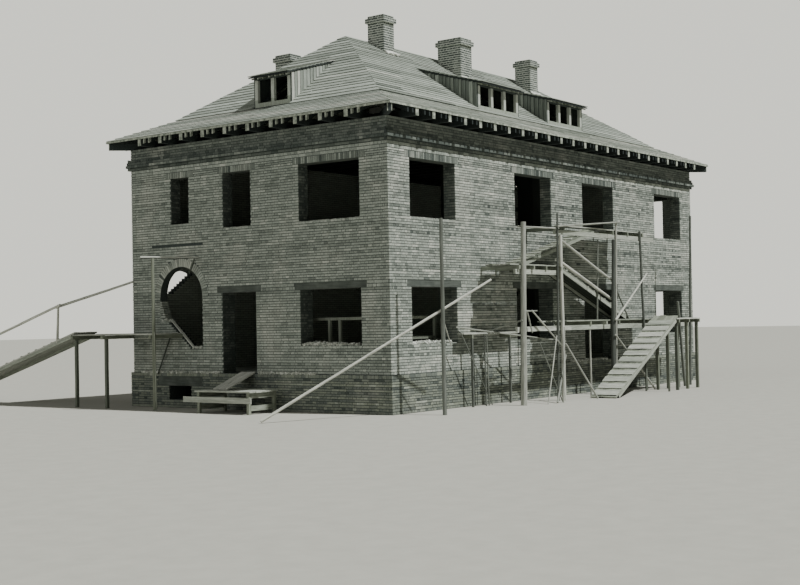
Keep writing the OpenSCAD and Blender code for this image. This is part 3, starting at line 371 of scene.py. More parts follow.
def eave_timber(name, pale_where, tones):
    """Joists and sprockets painted dark grey under the eaves as painted shade, with their sawn ends left
    pale, partly as fresh wood and partly as painted light.
    """
    material, tree, place = new_material(name)
    at = add(tree, "SeparateXYZ", {0: place}).outputs
    # Stains 30 mm across in the painted shade, and patches of 120 mm on the fresh ends
    fine = add(tree, "TexNoise", {"Vector": place, "Scale": 1 / 0.03, "Detail": 4.0, "Roughness": 0.65})
    # The ends past the walls stay pale, partly as fresh wood and partly as painted light; for the sprockets
    # only those on the left, as painted light
    if pale_where == "ends":
        past = []
        for axis, half in (("X", length / 2), ("Y", width / 2)):
            out = add(tree, "Math", {0: at[axis]}, operation="ABSOLUTE")
            past.append(add(tree, "Math", {0: out, 1: half + eave_out - 0.035}, operation="GREATER_THAN"))
        pale = add(tree, "Math", {0: past[0], 1: past[1]}, operation="MAXIMUM")
    else:
        pale = add(tree, "Math", {0: at["X"], 1: -length / 2 - eave_out + 0.09}, operation="LESS_THAN")
    # The dark grey is painted shade under the eaves
    grey = add(tree, "ValToRGB", {0: fine}, [(0.3, "#1f2726"), (0.7, "#373e3c")])
    patches = add(tree, "TexNoise", {"Vector": place, "Scale": 1 / 0.12, "Detail": 3.0, "Roughness": 0.6})
    fresh = add(tree, "ValToRGB", {0: patches}, tones)
    colour = add(tree, "Mix", {0: pale, 6: grey, 7: fresh}, data_type="RGBA")
    complete(tree, 0.9, colour, fine, 0.003)
    return material


brick_tones = [(0.0, "#4e5651"), (0.3, "#858c83"), (0.6, "#a8afa5"), (1.0, "#d4d6ca")]
plinth_tones = [(0.0, "#404844"), (0.3, "#6c736c"), (0.7, "#8f9586"), (1.0, "#b4baad")]
board_tones = [(0.0, "#727971"), (0.3, "#989f95"), (0.7, "#b4bbb1"), (1.0, "#d2d4ca")]
timber_tones = [(0.0, "#686e66"), (0.4, "#8e9486"), (1.0, "#b1b7aa")]
dark_tones = [(0.0, "#1f2726"), (0.5, "#2f3634"), (1.0, "#404744")]
limed_tones = [(0.0, "#a4aba2"), (0.5, "#cacdc2"), (1.0, "#eaece4")]
plank_tones = [(0.0, "#555c55"), (0.35, "#919786"), (0.6, "#aeb4a7"), (1.0, "#d4d6cc")]
pole_tones = [(0.0, "#474c47"), (0.5, "#8a8f86"), (1.0, "#d6d7cc")]

# Clay brick from wooden moulds, fired in a clamp: matt, gritty, uneven in tone, limed in patches
wall_brick = fired_brick("fired_clay_brick", brick_tones, 0.55)
# Brick fired hardest, for the plinth: darker, with little lime on it
plinth_brick = fired_brick("overfired_plinth_brick", plinth_tones, 0.3)
# Lime and sand mortar raked back by the trowel: dark sunk joints round the bricks
wall_mortar = lime_mortar("lime_mortar", ["#989f95", "#a8afa5", "#303836", "#464d49"])
# The stacks' mortar was left full and pale, and is painted dark below the joists as painted shade inside the
# rooms
stack_mortar = lime_mortar("pale_lime_mortar", ["#888f87", "#9ea59d", "#afb6ad", "#d0d2c8"], z_joist)
# Cast stone poured in board moulds: dull, cloudy and dark, with faint lines
cast = cast_lintel("board_marked_cast_stone", ["#454b46", "#5e645d"])
# Lime render laid on by trowel at the stacks: nearly white
lime_render = cast_lintel("lime_render", ["#c6c8be", "#e2e4dc"])
# Sawn softwood boards, silvered by rain: dry, streaked, each a tone of its own
roof_boards = timber("weathered_roof_boards", board_tones, "own", 0.016)
# Planks trodden and dusted with lime: streaked and pale on top, with painted shade on their downward faces
deck_planks = timber("trodden_planks_painted_shade_below", plank_tones, "own", 0.014, "#2f352e")
# Planks without the painted shade underneath, their tones raised on the side ramp as painted light from the
# ground
pale_planks = timber("planks_painted_as_lit_from_below", plank_tones, "own", 0.014)
# Young trunks peeled with a draw knife: smooth and pale, or dark where bark is left
peeled_poles = timber("peeled_poles", pole_tones, "own", 0.02)
# Timber under the eaves, painted dark as painted shade, with fresh saw cuts painted pale, partly as painted
# light
joist_timber = eave_timber("joists_in_painted_shade_with_pale_ends", "ends", [(0.35, "#6f776c"), (0.65, "#b2b7aa")])
sprocket_timber = eave_timber("sprockets_in_painted_shade_pale_on_left", "left", [(0.35, "#6b7368"), (0.65, "#a9aea1")])
# Sawn posts and beams of the dormers, new and pale where light falls on them, with head beams and cheeks
# painted dark as painted shade
front_dormer_timber = dormer_posts(
    "dormer_frame_timber", "X", (centre_pier + window_w) / 2, front_dormer_w / 2)
side_dormer_timber = dormer_posts("side_dormer_frame_timber", "Y", 0.0, side_dormer_w / 2)
# Undersides of the dormers' roofs: the same boards painted dark as painted shade, never in the light
dark_boards = timber("shaded_undersides", dark_tones, "X")
# Broken brick and a plank splashed with lime: chalky
limed_boards = timber("lime_splashed_boards", limed_tones, "own", 0.014)
# Sawn framing timber and floor boards, by the way their grain runs: plain, greyed, streaked
timber_x = timber("sawn_timber_x", timber_tones, "X")
timber_y = timber("sawn_timber_y", timber_tones, "Y")
timber_z = timber("sawn_timber_z", timber_tones, "Z")
boards_x = timber("sawn_boards_x", board_tones, "X", 0.03)
boards_y = timber("sawn_boards_y", board_tones, "Y", 0.03)

# Each material with the beginnings of the names of the nodes that have it, the last for all others
frame_materials = (
    (wall_mortar, ("ground_wall", "upper_wall", "arch", "string", "plinth", "cellar")),
    (stack_mortar, "chimney"),
    (cast, ("ground_lintels", "upper_lintels")),
    (boards_x, ("ground_floor", "upper_floor", "gangway_decks", "gangway_ramp", "gangway_walkways")),
    (boards_y, ("side_deck", "side_ramp", "door_landing")),
    (sprocket_timber, "sprockets"),
    # The roof's own nodes also take this dark timber, as painted shade on the soffits and in the gaps between
    # the boards
    (joist_timber, ("attic_joists", "lookouts", "roof")),
    (dark_boards, "dormer_roof"),
    (side_dormer_timber, "dormer_side"),
    (front_dormer_timber, "dormer_front"),
    (timber_y, ("rafters_long", "gangway_putlogs")),
    (timber_z, ("gangway_poles", "inner_trestle")),
    (timber_x, ""),
)


def paint_frame():
    """Materials of the frame's own nodes."""
    for name, node in nodes.items():
        material = next(own for own, starts in frame_materials if name.startswith(starts))
        node.data.materials.clear()
        node.data.materials.append(material)


def select_only(piece):
    """Selects one piece and makes it the active one."""
    bpy.ops.object.select_all(action="DESELECT")
    piece.select_set(True)
    bpy.context.view_layer.objects.active = piece


def cut_across(places):
    """Cuts all of the template in edit mode across its length at places along it."""
    bpy.ops.object.mode_set(mode="EDIT")
    for at in places:
        bpy.ops.mesh.select_all(action="SELECT")
        bpy.ops.mesh.bisect(plane_co=(at, 0, 0), plane_no=(1, 0, 0))
    bpy.ops.object.mode_set(mode="OBJECT")


def cube_template(cuts):
    """A unit block with the given cuts across its length."""
    bpy.ops.object.select_all(action="DESELECT")
    bpy.ops.mesh.primitive_cube_add(size=1)
    cut_across([(i + 1) / (cuts + 1) - 0.5 for i in range(cuts)])
    return bpy.context.object


def pole_template():
    """A pole of unit length and thickness along X, thinner at its far end."""
    bpy.ops.object.select_all(action="DESELECT")
    bpy.ops.mesh.primitive_cylinder_add(vertices=12, radius=0.5, depth=1, rotation=(0, math.pi / 2, 0))
    bpy.ops.object.transform_apply(location=False, rotation=True, scale=False)
    cut_across([i * 0.1 - 0.4 for i in range(9)])
    pole = bpy.context.object
    for vertex in pole.data.vertices:
        taper = 1 - 0.22 * (vertex.co.x + 0.5)
        vertex.co.y *= taper
        vertex.co.z *= taper
    return pole


def laying_tree(template, wobble, bow, seed):
    """Geometry nodes that set a copy of the template at every point, with its size, turn, tone and grain."""
    tree = bpy.data.node_groups.new("laying", "GeometryNodeTree")
    tree.interface.new_socket("Geometry", in_out="INPUT", socket_type="NodeSocketGeometry")
    tree.interface.new_socket("Geometry", in_out="OUTPUT", socket_type="NodeSocketGeometry")

    size, turn, tone, grain = (
        add(tree, "GeometryNodeInputNamedAttribute", {"Name": name}, data_type=kind)
        for name, kind in (
            ("size", "FLOAT_VECTOR"), ("turn", "FLOAT_VECTOR"), ("tone", "FLOAT"), ("grain", "FLOAT_VECTOR"),
        ))
    at_points = {"data_type": "FLOAT_VECTOR", "domain": "POINT"}
    block = add(tree, "GeometryNodeObjectInfo", {"Object": template}).outputs["Geometry"]
    # The grain is each point's place on its own board
    block = add(tree, "GeometryNodeStoreNamedAttribute", {
        "Geometry": block, "Name": "grain", "Value": add(tree, "GeometryNodeInputPosition"),
    }, **at_points)
    turn = add(tree, "FunctionNodeEulerToRotation", {"Euler": turn})
    laid = add(tree, "GeometryNodeInstanceOnPoints", {
        "Points": add(tree, "NodeGroupInput"), "Instance": block, "Rotation": turn, "Scale": size,
    })
    laid = add(tree, "GeometryNodeRealizeInstances", {"Geometry": laid})
    real = add(tree, "VectorMath", {0: grain, 1: size}, operation="MULTIPLY")
    # Each copy reads the grain's pattern at a place of its own
    shift = add(tree, "VectorMath", {0: (41.0, 17.0, 29.0), "Scale": tone}, operation="SCALE")
    real = add(tree, "VectorMath", {0: real, 1: shift}, operation="ADD")
    laid = add(tree, "GeometryNodeStoreNamedAttribute", {
        "Geometry": laid, "Name": "grain", "Value": real,
    }, **at_points)
    jitter = add(tree, "FunctionNodeRandomValue", {
        0: (-wobble,) * 3, 1: (wobble,) * 3, "ID": add(tree, "GeometryNodeInputIndex"), "Seed": seed,
    }, data_type="FLOAT_VECTOR")
    laid = add(tree, "GeometryNodeSetPosition", {"Geometry": laid, "Offset": jitter})
    if bow:
        drift = add(tree, "TexNoise", {"Scale": 0.8, "Detail": 1.0}).outputs["Color"]
        drift = add(tree, "VectorMath", {0: drift, 1: (0.5, 0.5, 0.5)}, operation="SUBTRACT")
        drift = add(tree, "VectorMath", {0: drift, "Scale": bow}, operation="SCALE")
        laid = add(tree, "GeometryNodeSetPosition", {"Geometry": laid, "Offset": drift})
    # Feet are cut flat where they stand on the ground
    at = add(tree, "SeparateXYZ", {0: add(tree, "GeometryNodeInputPosition")}).outputs
    above = add(tree, "Math", {0: at["Z"], 1: 0.0}, operation="MAXIMUM")
    flat = add(tree, "CombineXYZ", {"X": at["X"], "Y": at["Y"], "Z": above})
    laid = add(tree, "GeometryNodeSetPosition", {"Geometry": laid, "Position": flat})
    add(tree, "NodeGroupOutput", {0: laid})
    return tree


def lay(name, template, places, wobble, seed, bow=0.0):
    """One piece with a copy of the template at every (centre, size, turn, tone), a little uneven."""
    mesh = bpy.data.meshes.new(name)
    mesh.from_pydata([place[0] for place in places], [], [])
    for key, column in (("size", 1), ("turn", 2)):
        values = [x for place in places for x in place[column]]
        mesh.attributes.new(key, "FLOAT_VECTOR", "POINT").data.foreach_set("vector", values)
    mesh.attributes.new("tone", "FLOAT", "POINT").data.foreach_set("value", [place[3] for place in places])
    piece = bpy.data.objects.new(name, mesh)
    bpy.context.scene.collection.objects.link(piece)
    select_only(piece)
    modifier = piece.modifiers.new("laying", "NODES")
    tree = laying_tree(template, wobble, bow, seed)
    modifier.node_group = tree
    bpy.ops.object.modifier_apply(modifier=modifier.name)
    bpy.data.node_groups.remove(tree)
    for key in ("size", "turn"):
        if key in piece.data.attributes:
            piece.data.attributes.remove(piece.data.attributes[key])
    return piece


def dress(piece, material, slot, *replaced):
    """Gives a finished piece its material and its body, and hides the nodes that it stands for. The slot is
    not used.
    """
    piece.data.materials.clear()
    piece.data.materials.append(material)
    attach(piece, "root")
    if replaced:
        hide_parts(*replaced)


def cut_away(piece, point, normal):
    """Cuts a piece at a plane and closes it, leaving the side that the normal points away from."""
    select_only(piece)
    bpy.ops.object.mode_set(mode="EDIT")
    bpy.ops.mesh.select_all(action="SELECT")
    bpy.ops.mesh.bisect(plane_co=point, plane_no=normal, clear_outer=True, use_fill=True)
    bpy.ops.object.mode_set(mode="OBJECT")


def join(first, second, name):
    """Two pieces as one."""
    select_only(first)
    second.select_set(True)
    bpy.ops.object.join()
    first.name = first.data.name = name
    return first


# Blocks for bricks, rubble, boards, beams and fillets, the longer ones with cuts to bend at, and a log
brick, lump, plank, beam, fillet = (cube_template(cuts) for cuts in (0, 1, 2, 4, 6))
log = pole_template()


def brick_at(wall, u, v, z, tone):
    """Place of a brick with the given (low, high) along each direction of a wall."""
    a = on_wall(wall, u[0], v[0], z[0])
    b = on_wall(wall, u[1], v[1], z[1])
    return (a + b) / 2, Vector([abs(b[i] - a[i]) for i in range(3)]), (0, 0, 0), tone


def courses(low, high, lap=bed / 2):
    """The (low, high) of each brick in the courses that fill a height."""
    rows = max(1, round((high - low) / course))
    pitch = (high - low) / rows
    return [(low + k * pitch + lap, low + (k + 1) * pitch - lap) for k in range(rows)]


def arch_span(wall, z):
    """The parts of a wall that an arch and its ring take at a height."""
    if wall not in arches or not arch_sill < z < arch_spring + arch_r + arch_ring_h:
        return []
    at = arches[wall]
    middle = at + arch_r
    if z > arch_spring:
        half = math.sqrt((arch_r + arch_ring_h) ** 2 - (z - arch_spring) ** 2)
        return [(middle - half, middle + half)]
    end = at + 2 * arch_r
    if wall == "left" and z < arch_sill + rack_h:
        end = at + rack_gap + (z - arch_sill) / rack_h * (2 * arch_r - rack_gap - rack_top)
    return [(at, end)]


def back_rack_edge(z):
    """Where the brickwork in the back arch ends at a height, from the arch's near jamb."""
    top = arch_spring + arch_r - arch_sill - back_rack_h
    return back_rack_gap + (z - arch_sill - back_rack_h) / top * back_rack_l


def closed_at(wall, z):
    """The stretches of a wall where no brick lies at a height: openings, lintels and arches."""
    spans = []
    for u0, u1, low, high in holes[wall]:
        if low < z < high:
            spans.append((u0, u1))
        elif high <= z < high + lintel_h:
            spans.append((u0 - lintel_bearing, u1 + lintel_bearing))
    if wall == "left" and missing_course[2] < z < missing_course[3]:
        spans.append(missing_course[:2])
    taken = arch_span(wall, z)
    if wall == "back" and taken:
        # Brickwork fills the back arch up to its stepped edge
        a, b = taken[0]
        inner = math.sqrt(arch_r ** 2 - max(0, z - arch_spring) ** 2) if z < arch_spring + arch_r else 0
        middle = back_arch_pier + arch_r
        open_end = min(middle + inner, back_arch_pier + back_rack_edge(z))
        ring = [(a, middle - inner), (middle + inner, b)] if z > arch_spring else []
        is_open = z > arch_sill + back_rack_h and open_end > middle - inner
        opening = [(middle - inner, open_end)] if is_open else []
        taken = [(a, b)] if inner == 0 else [span for span in ring + opening if span[1] - span[0] > 0.005]
    return sorted(spans + taken)


def cellar_at(wall, z):
    """The stretches of a plinth that its cellar window and lintel take at a height."""
    openings = [] if wall in long_walls else (cellar_window, cellar_lintel)
    return [(u0, u1) for u0, u1, low, high in openings if low < z < high]


def none_at(wall, z):
    """No stretches, for a part with no openings."""
    return []


def pieces_of(start, end, spans):
    """What is left of a brick or board beside the stretches where none lies."""
    left = [(start, end)]
    for a, b in spans:
        parts = [part for u, w in left for part in ((u, min(w, a)), (max(u, b), w))]
        left = [(u, w) for u, w in parts if w - u > 0.03]
    return left


def brick_course(start, end, heads, dice):
    """The bricks of one course as (start, end), in stretchers or in headers with a closer at the corner."""
    laid = []
    at = start
    lengths = [brick_w, brick_w / 2 - joint / 2] if heads else []
    while at < end - 0.02:
        size = lengths.pop(0) if lengths else (brick_w if heads else brick_l)
        laid.append((at, min(at + size + dice.uniform(-0.003, 0.003), end)))
        at += size + joint
    return laid


def brick_field(wall, past, levels, out, parity, dice, spans_at, tone=0.5, spread=1.0):
    """Bricks of a wall face between heights, from a little past one end to a little past the other."""
    places = []
    for low, high in zip(levels, levels[1:]):
        for z in courses(low, high):
            parity += 1
            spans = spans_at(wall, (z[0] + z[1]) / 2)
            drift = dice.gauss(0, course_spread * spread)
            for u0, u1 in brick_course(-past, wall_length[wall] + past, parity % 2, dice):
                if dice.random() < new_lot:
                    drift = dice.gauss(0, lot_spread * spread)
                for u in pieces_of(u0, u1, spans):
                    rise = proud + dice.uniform(-0.004, 0.004)
                    tinge = toned(dice, tone, brick_spread * spread, drift)
                    places.append(brick_at(wall, u, (-out - rise, -out + set_in), z, tinge))
    return places


def reveal_bricks(wall, dice):
    """Bricks on the jambs and sills of a wall's openings."""
    places = []
    # Jamb bricks get dark tones as painted shade in the reveals, darkest on the end wall
    jamb_painted_shade_tone = 0.02 if wall == "left" else 0.14
    for u0, u1, low, high in holes[wall]:
        depth = ground_wall_t if high < z_upper_wall else upper_wall_t
        for k, z in enumerate(courses(low, high)):
            for v in brick_course(0.0, depth, k % 2, dice):
                for edge, side in ((u0, 1), (u1, -1)):
                    inner = edge + side * (proud + dice.uniform(-0.002, 0.003))
                    span = sorted((edge - side * 0.03, inner))
                    places.append(brick_at(wall, span, v, z, toned(dice, jamb_painted_shade_tone, 0.07)))
        if low < z_floor + 0.1:
            continue
        # A few bricks of a sill are missing
        for u in brick_course(u0, u1, 1, dice):
            for v in brick_course(0.0, depth, 0, dice):
                if dice.random() < 0.06:
                    continue
                z = (low - 0.03, low + 0.006 + dice.uniform(-0.003, 0.006))
                places.append(brick_at(wall, u, v, z, toned(dice, 0.55, 0.2)))
    return places


def wall_bricks():
    """The brickwork of the four walls and of their plinths, one piece each."""
    levels = [
        z_floor, ground_sill, ground_head, ground_head + lintel_h, z_upper_wall, upper_sill,
        upper_head, upper_head + lintel_h, string_at,
    ]
    frieze = [string_at + len(string_steps) * string_step_h, z_wall_top]
    plinth_levels = [0.0, cellar_window[2], *cellar_lintel[2:], z_floor]
    for i, wall in enumerate(wall_length):
        dice = random.Random(11 + i)
        parity = i // 2
        spread = 1.0 if wall in long_walls else 0.7
        places = brick_field(wall, proud, levels, 0.0, parity, dice, closed_at, 0.5, spread)
        # The frieze under the eaves gets darker, more even bricks as painted shade
        places += brick_field(wall, proud, frieze, 0.0, parity, dice, none_at, 0.2, 0.45)
        # The string course's steps get the darkest bricks, as painted shade under the eaves
        for k, step in enumerate(string_steps):
            out = string_out * step / max(string_steps)
            low = string_at + k * string_step_h
            places += brick_field(
                wall, out, [low, low + string_step_h], out, k + parity, dice, none_at, 0.07, 0.5)
        places += reveal_bricks(wall, dice)
        dress(lay("bricks_" + wall, brick, places, 0.0012, 3 + i), wall_brick, "brickwork")
        places = brick_field(wall, plinth_out + proud, plinth_levels, plinth_out, parity, dice, cellar_at)
        dress(lay("plinth_bricks_" + wall, brick, places, 0.0012, 9 + i), plinth_brick, "plinth_brickwork")


def arch_bricks():
    """Bricks on edge round both arches."""
    dice = random.Random(31)
    places = []
    radius = arch_r + arch_ring_h / 2
    count = round(math.pi * radius / course)
    for wall, at in arches.items():
        for i in range(count):
            angle = math.pi * (i + 0.5) / count
            u, z = at + arch_r - radius * math.cos(angle), arch_spring + radius * math.sin(angle)
            centre = on_wall(wall, u, 0.02 - proud, z)
            size = (arch_ring_h - 0.01, set_in, brick_h + 0.006)
            radial = -math.cos(angle) * way(wall, 1, 0) + Vector((0, 0, math.sin(angle)))
            places.append((centre, size, turn_to(radial, way(wall, 0, 1)), toned(dice, 0.42, 0.15)))
    dress(lay("arch_bricks", brick, places, 0.001, 5), wall_brick, "brickwork")


def lintel_bricks():
    """Bricks on edge over the upper openings, as a flat arch."""
    dice = random.Random(37)
    places = []
    for wall, spans in holes.items():
        tone = 0.32 if wall == "left" else 0.2
        for u0, u1, low, high in spans:
            if low < upper_sill - 0.01:
                continue
            for u in courses(u0 - lintel_bearing, u1 + lintel_bearing, 0.007):
                v = (-proud - dice.uniform(-0.004, 0.003), set_in)
                z = (high + 0.004, high + lintel_h - 0.008)
                places.append(brick_at(wall, u, v, z, toned(dice, tone, brick_spread)))
    dress(lay("lintel_bricks", brick, places, 0.001, 5), wall_brick, "brickwork")


def jamb_bricks():
    """Toothed brickwork that narrows the side arch below its spring, on top of the stepped part."""
    dice = random.Random(39)
    places = []
    far_jamb = side_arch_at + 2 * arch_r
    rows = courses(arch_sill + rack_h, arch_spring - 0.12)
    for k, z in enumerate(rows):
        reach = 0.26 * (1 - k / len(rows)) + dice.uniform(-0.02, 0.03)
        at = far_jamb + 0.04
        while at > far_jamb - reach + 0.03:
            edge = max(at - (brick_w if k % 2 else brick_l), far_jamb - reach)
            for near, far in ((0.0, 0.12), (0.13, arch_leaf)):
                v = (near - dice.uniform(0, 0.006), far)
                places.append(brick_at("left", (edge, at), v, z, toned(dice, 0.45, 0.12)))
            at = edge - joint
    dress(lay("jamb_bricks", brick, places, 0.001, 6), wall_brick, "brickwork")


def stack_bricks():
    """Brickwork of the four stacks above the roof, nearly flush, with their caps."""
    dice = random.Random(41)
    places = []
    flush = 0.003
    for low, high in stacks:
        x = (low.x + stack_cap_out, high.x - stack_cap_out)
        y = (low.y + stack_cap_out, high.y - stack_cap_out)
        cap_low, cap_high = high.z - stack_cap_foot, high.z - stack_cap_top
        for z0, z1, out in (
            (z_joist + 1.2, cap_low, 0.0), (cap_low, cap_high, stack_cap_out), (cap_high, high.z, 0.0),
        ):
            for k, z in enumerate(courses(z0, z1, 0.012)):
                for span, fixed, along in ((x, y, 0), (y, x, 1)):
                    row = brick_course(span[0] - out - flush, span[1] + out + flush, (k + along) % 2, dice)
                    for u0, u1 in row:
                        for edge, side in ((fixed[0] - out, -1), (fixed[1] + out, 1)):
                            outer = edge + side * (flush + dice.uniform(-0.001, 0.001))
                            box = [None, None, z]
                            box[along] = (u0, u1 - 0.006)
                            box[1 - along] = sorted((edge - side * 0.03, outer))
                            centre = Vector([(a + b) / 2 for a, b in box])
                            size = Vector([b - a for a, b in box])
                            places.append((centre, size, (0, 0, 0), toned(dice, 0.06, 0.09)))
    dress(lay("stack_bricks", brick, places, 0.0015, 6), wall_brick, "brickwork")


def stack_fillets():
    """Lime mortar run along the front foot of the stacks on the front slope."""
    places = []
    x_axis, up, normal = slope_axes("front", front_slope)
    for low, high in stacks[:3]:
        u0, u1 = low.x + stack_cap_out + length / 2, high.x - stack_cap_out + length / 2
        v = low.y + stack_cap_out + width / 2
        z = z_kink + front_slope * (v - kink_at)
        for shift, wide in ((0.03, 0.20), (0.12, 0.14)):
            centre = on_wall("front", (u0 + u1) / 2 + shift, v - 0.05, z - front_slope * 0.05)
            size = (u1 - u0 + 0.04, wide, 0.05)
            places.append((centre + normal * 0.075, size, turn_to(x_axis, up), 0.8))
    dress(lay("mortar_fillets", fillet, places, 0.02, 7), lime_render, "brickwork")


def rubble():
    """Broken brick and lime on the sills and ledges, and a limed plank on the stepped brickwork."""
    dice = random.Random(101)
    places = []
    ledge = (-plinth_out + 0.03, -0.03)
    # Heaps by wall, stretch, depth, level and height, with the number of lumps in each
    for wall, u, v, z, tall, count in (
        ("left", (1.15, 3.05), (0.05, 0.30), ground_sill, 0.05, 260),
        ("left", (2.05, 3.1), (0.03, 0.22), ground_sill, 0.09, 160),
        ("front", (1.0, 2.9), (0.04, 0.30), ground_sill, 0.05, 240),
        ("left", (7.03, 7.9), (0.04, 0.22), arch_sill, 0.05, 110),
        ("left", (8.46, 8.78), (0.04, 0.22), arch_sill + rack_h, 0.10, 60),
        ("left", (2.6, 4.7), ledge, z_floor, 0.01, 150),
        ("left", (6.3, 9.6), ledge, z_floor, 0.01, 190),
        ("front", (9.5, 12.0), ledge, z_floor, 0.01, 120),
    ):
        for _ in range(count):
            at = dice.uniform(*u)
            middle = 1 - abs(2 * (at - u[0]) / (u[1] - u[0]) - 1)
            size = [dice.uniform(0.04, 0.13), dice.uniform(0.04, 0.10), dice.uniform(0.025, 0.06)]
            lift = dice.random() * tall * (0.35 + 0.65 * middle)
            centre = on_wall(wall, at, dice.uniform(*v), z + size[2] * 0.4 + lift)
            turn = (dice.uniform(-0.5, 0.5), dice.uniform(-0.5, 0.5), dice.uniform(0, 3))
            places.append((centre, size, turn, dice.random()))
    foot = on_wall("left", 7.40, 0.05, arch_sill + 0.02)
    head = on_wall("left", 8.40, 0.05, arch_sill + 0.90)
    turn = turn_to((head - foot).normalized(), way("left", 0, 1))
    places.append(((head + foot) / 2, ((head - foot).length, 0.09, 0.03), turn, 0.75))
    dress(lay("lime_rubble", lump, places, 0.006, 8), limed_boards, "brickwork")


def slope_axes(wall, slope):
    """Axes of a board on a slope: along the eave, up the slope and out of it."""
    up = (way(wall, 0, 1) + Vector((0, 0, slope))).normalized()
    normal = (Vector((0, 0, 1)) - up * up.z).normalized()
    return up.cross(normal), up, normal


def row_of_boards(start, end, dice, shortest, longest, gap):
    """Boards laid end to end, as (start, end)."""
    laid = []
    at = start - dice.uniform(0, shortest)
    while at < end:
        size = dice.uniform(shortest, longest)
        laid.append((max(at, start), min(at + size - gap, end)))
        at += size
    return [b for b in laid if b[1] - b[0] > 0.1]


def lapped_slope(wall, slope, v0, v1, z0, edge, dice, spans_at, tone, exposed, thick=0.024, gappy=0.0):
    """Boards parallel to the eave, each lapping over the one below, from v0 up to v1."""
    x_axis, up, normal = slope_axes(wall, slope)
    steepness = math.sqrt(1 + slope * slope)
    run = (v1 - v0) * steepness
    rows = max(1, round(run / exposed))
    step = run / rows
    tilt = math.atan2(thick, step)
    turn = turn_to(x_axis, up * math.cos(tilt) - normal * math.sin(tilt))
    places = []
    for k in range(rows):
        v = v0 + (k + 0.5) * step / steepness
        first, last = edge(v - step / 2)
        for a, b in row_of_boards(first, last, dice, 2.2, 5.5, 0.008):
            for u0, u1 in pieces_of(a, b, spans_at(wall, v)):
                lift = dice.uniform(0, 0.004) + thick * 0.8
                centre = on_wall(wall, (u0 + u1) / 2, v, z0 + (v - v0) * slope) + normal * lift
                broad = 0.66 * step if dice.random() < gappy else step + 0.035 + dice.uniform(-0.008, 0.008)
                places.append((centre, (u1 - u0, broad, thick), turn, toned(dice, tone, 0.17)))
    return places


# Dormers as (wall, middle along it, width, distance of the face behind the wall, slope), as in the frame
dormers = {
    "front_left": ("front", long_at[1] + window_w / 2, front_dormer_w, 1.18, front_slope),
    "front_right": ("front", long_at[2] + window_w / 2, front_dormer_w, 1.18, front_slope),
    "side": ("left", width / 2, side_dormer_w, 1.06, end_slope),
}


def dormer_meets(slope, face):
    """Distance behind the wall face at which a dormer's roof meets the main roof."""
    return (dormer_h + dormer_pitch * (dormer_eave - face) + slope * kink_at) / (slope - dormer_pitch)


def roof_spans(wall, v):
    """The stretches of a slope that stacks and dormers take at a distance behind the wall face."""
    spans = []
    margin = stack_cap_out - 0.01
    across, along = (1, 0) if wall in long_walls else (0, 1)
    at = on_wall(wall, 0, v, 0)[across]
    half = wall_length[wall] / 2
    for low, high in stacks:
        if low[across] + margin < at < high[across] - margin:
            spans.append((low[along] + margin + half, high[along] - margin + half))
    for owner, middle, wide, face, slope in dormers.values():
        if owner == wall and face - 0.02 < v < dormer_meets(slope, face) + 0.05:
            spans.append((middle - wide / 2 - cheek_t, middle + wide / 2 + cheek_t))
    return sorted(spans)


def roof_slopes():
    """Lapped boards over the four slopes: the flared foot and the steep part, cut at the hips."""
    z_edge = z_joist + board_t
    low_rise = (z_kink - z_edge) / kink_in
    for i, (wall, size) in enumerate(wall_length.items()):
        dice = random.Random(51 + i)
        slope, reach, inset = front_slope, width / 2, ridge_inset
        if wall not in long_walls:
            slope, reach, inset = end_slope, ridge_inset, width / 2

        def low_edge(v):
            return v - 0.05, size - v + 0.05

        def high_edge(v):
            u = kink_at + (v - kink_at) * (inset - kink_at) / (reach - kink_at)
            return u - 0.06, size - u + 0.06

        foot = lay("foot", plank, lapped_slope(
            wall, low_rise, -eave_out + 0.042, kink_at, z_edge, low_edge, dice, roof_spans, 0.72, 0.2),
            0.002, 3)
        steep = lay("steep", plank, lapped_slope(
            wall, slope, kink_at, reach, z_kink, high_edge, dice, roof_spans, 0.5, 0.19, gappy=0.06),
            0.002, 4)
        for piece, (du, dv) in ((foot, (1.0, 1.0)), (steep, (inset - kink_at, reach - kink_at))):
            for side in (-1, 1):
                corner = on_wall(wall, kink_at if side < 0 else size - kink_at, kink_at, 0)
                along = way(wall, -side * du, dv)
                normal = Vector((along.y, -along.x, 0)).normalized()
                if normal.dot(way(wall, side, 0)) < 0:
                    normal = -normal
                cut_away(piece, corner, normal)
        dress(join(foot, steep, "roof_boards_" + wall), roof_boards, "weathered_boards")


def between(p, q, thick, tone):
    """Place of a pole or beam between two points."""
    axis = (q - p).normalized()
    side = Vector((0, 0, 1)).cross(axis)
    side = side.normalized() if side.length > 0.01 else Vector((0, 1, 0))
    return (p + q) / 2, ((q - p).length, thick, thick), turn_to(axis, side), tone


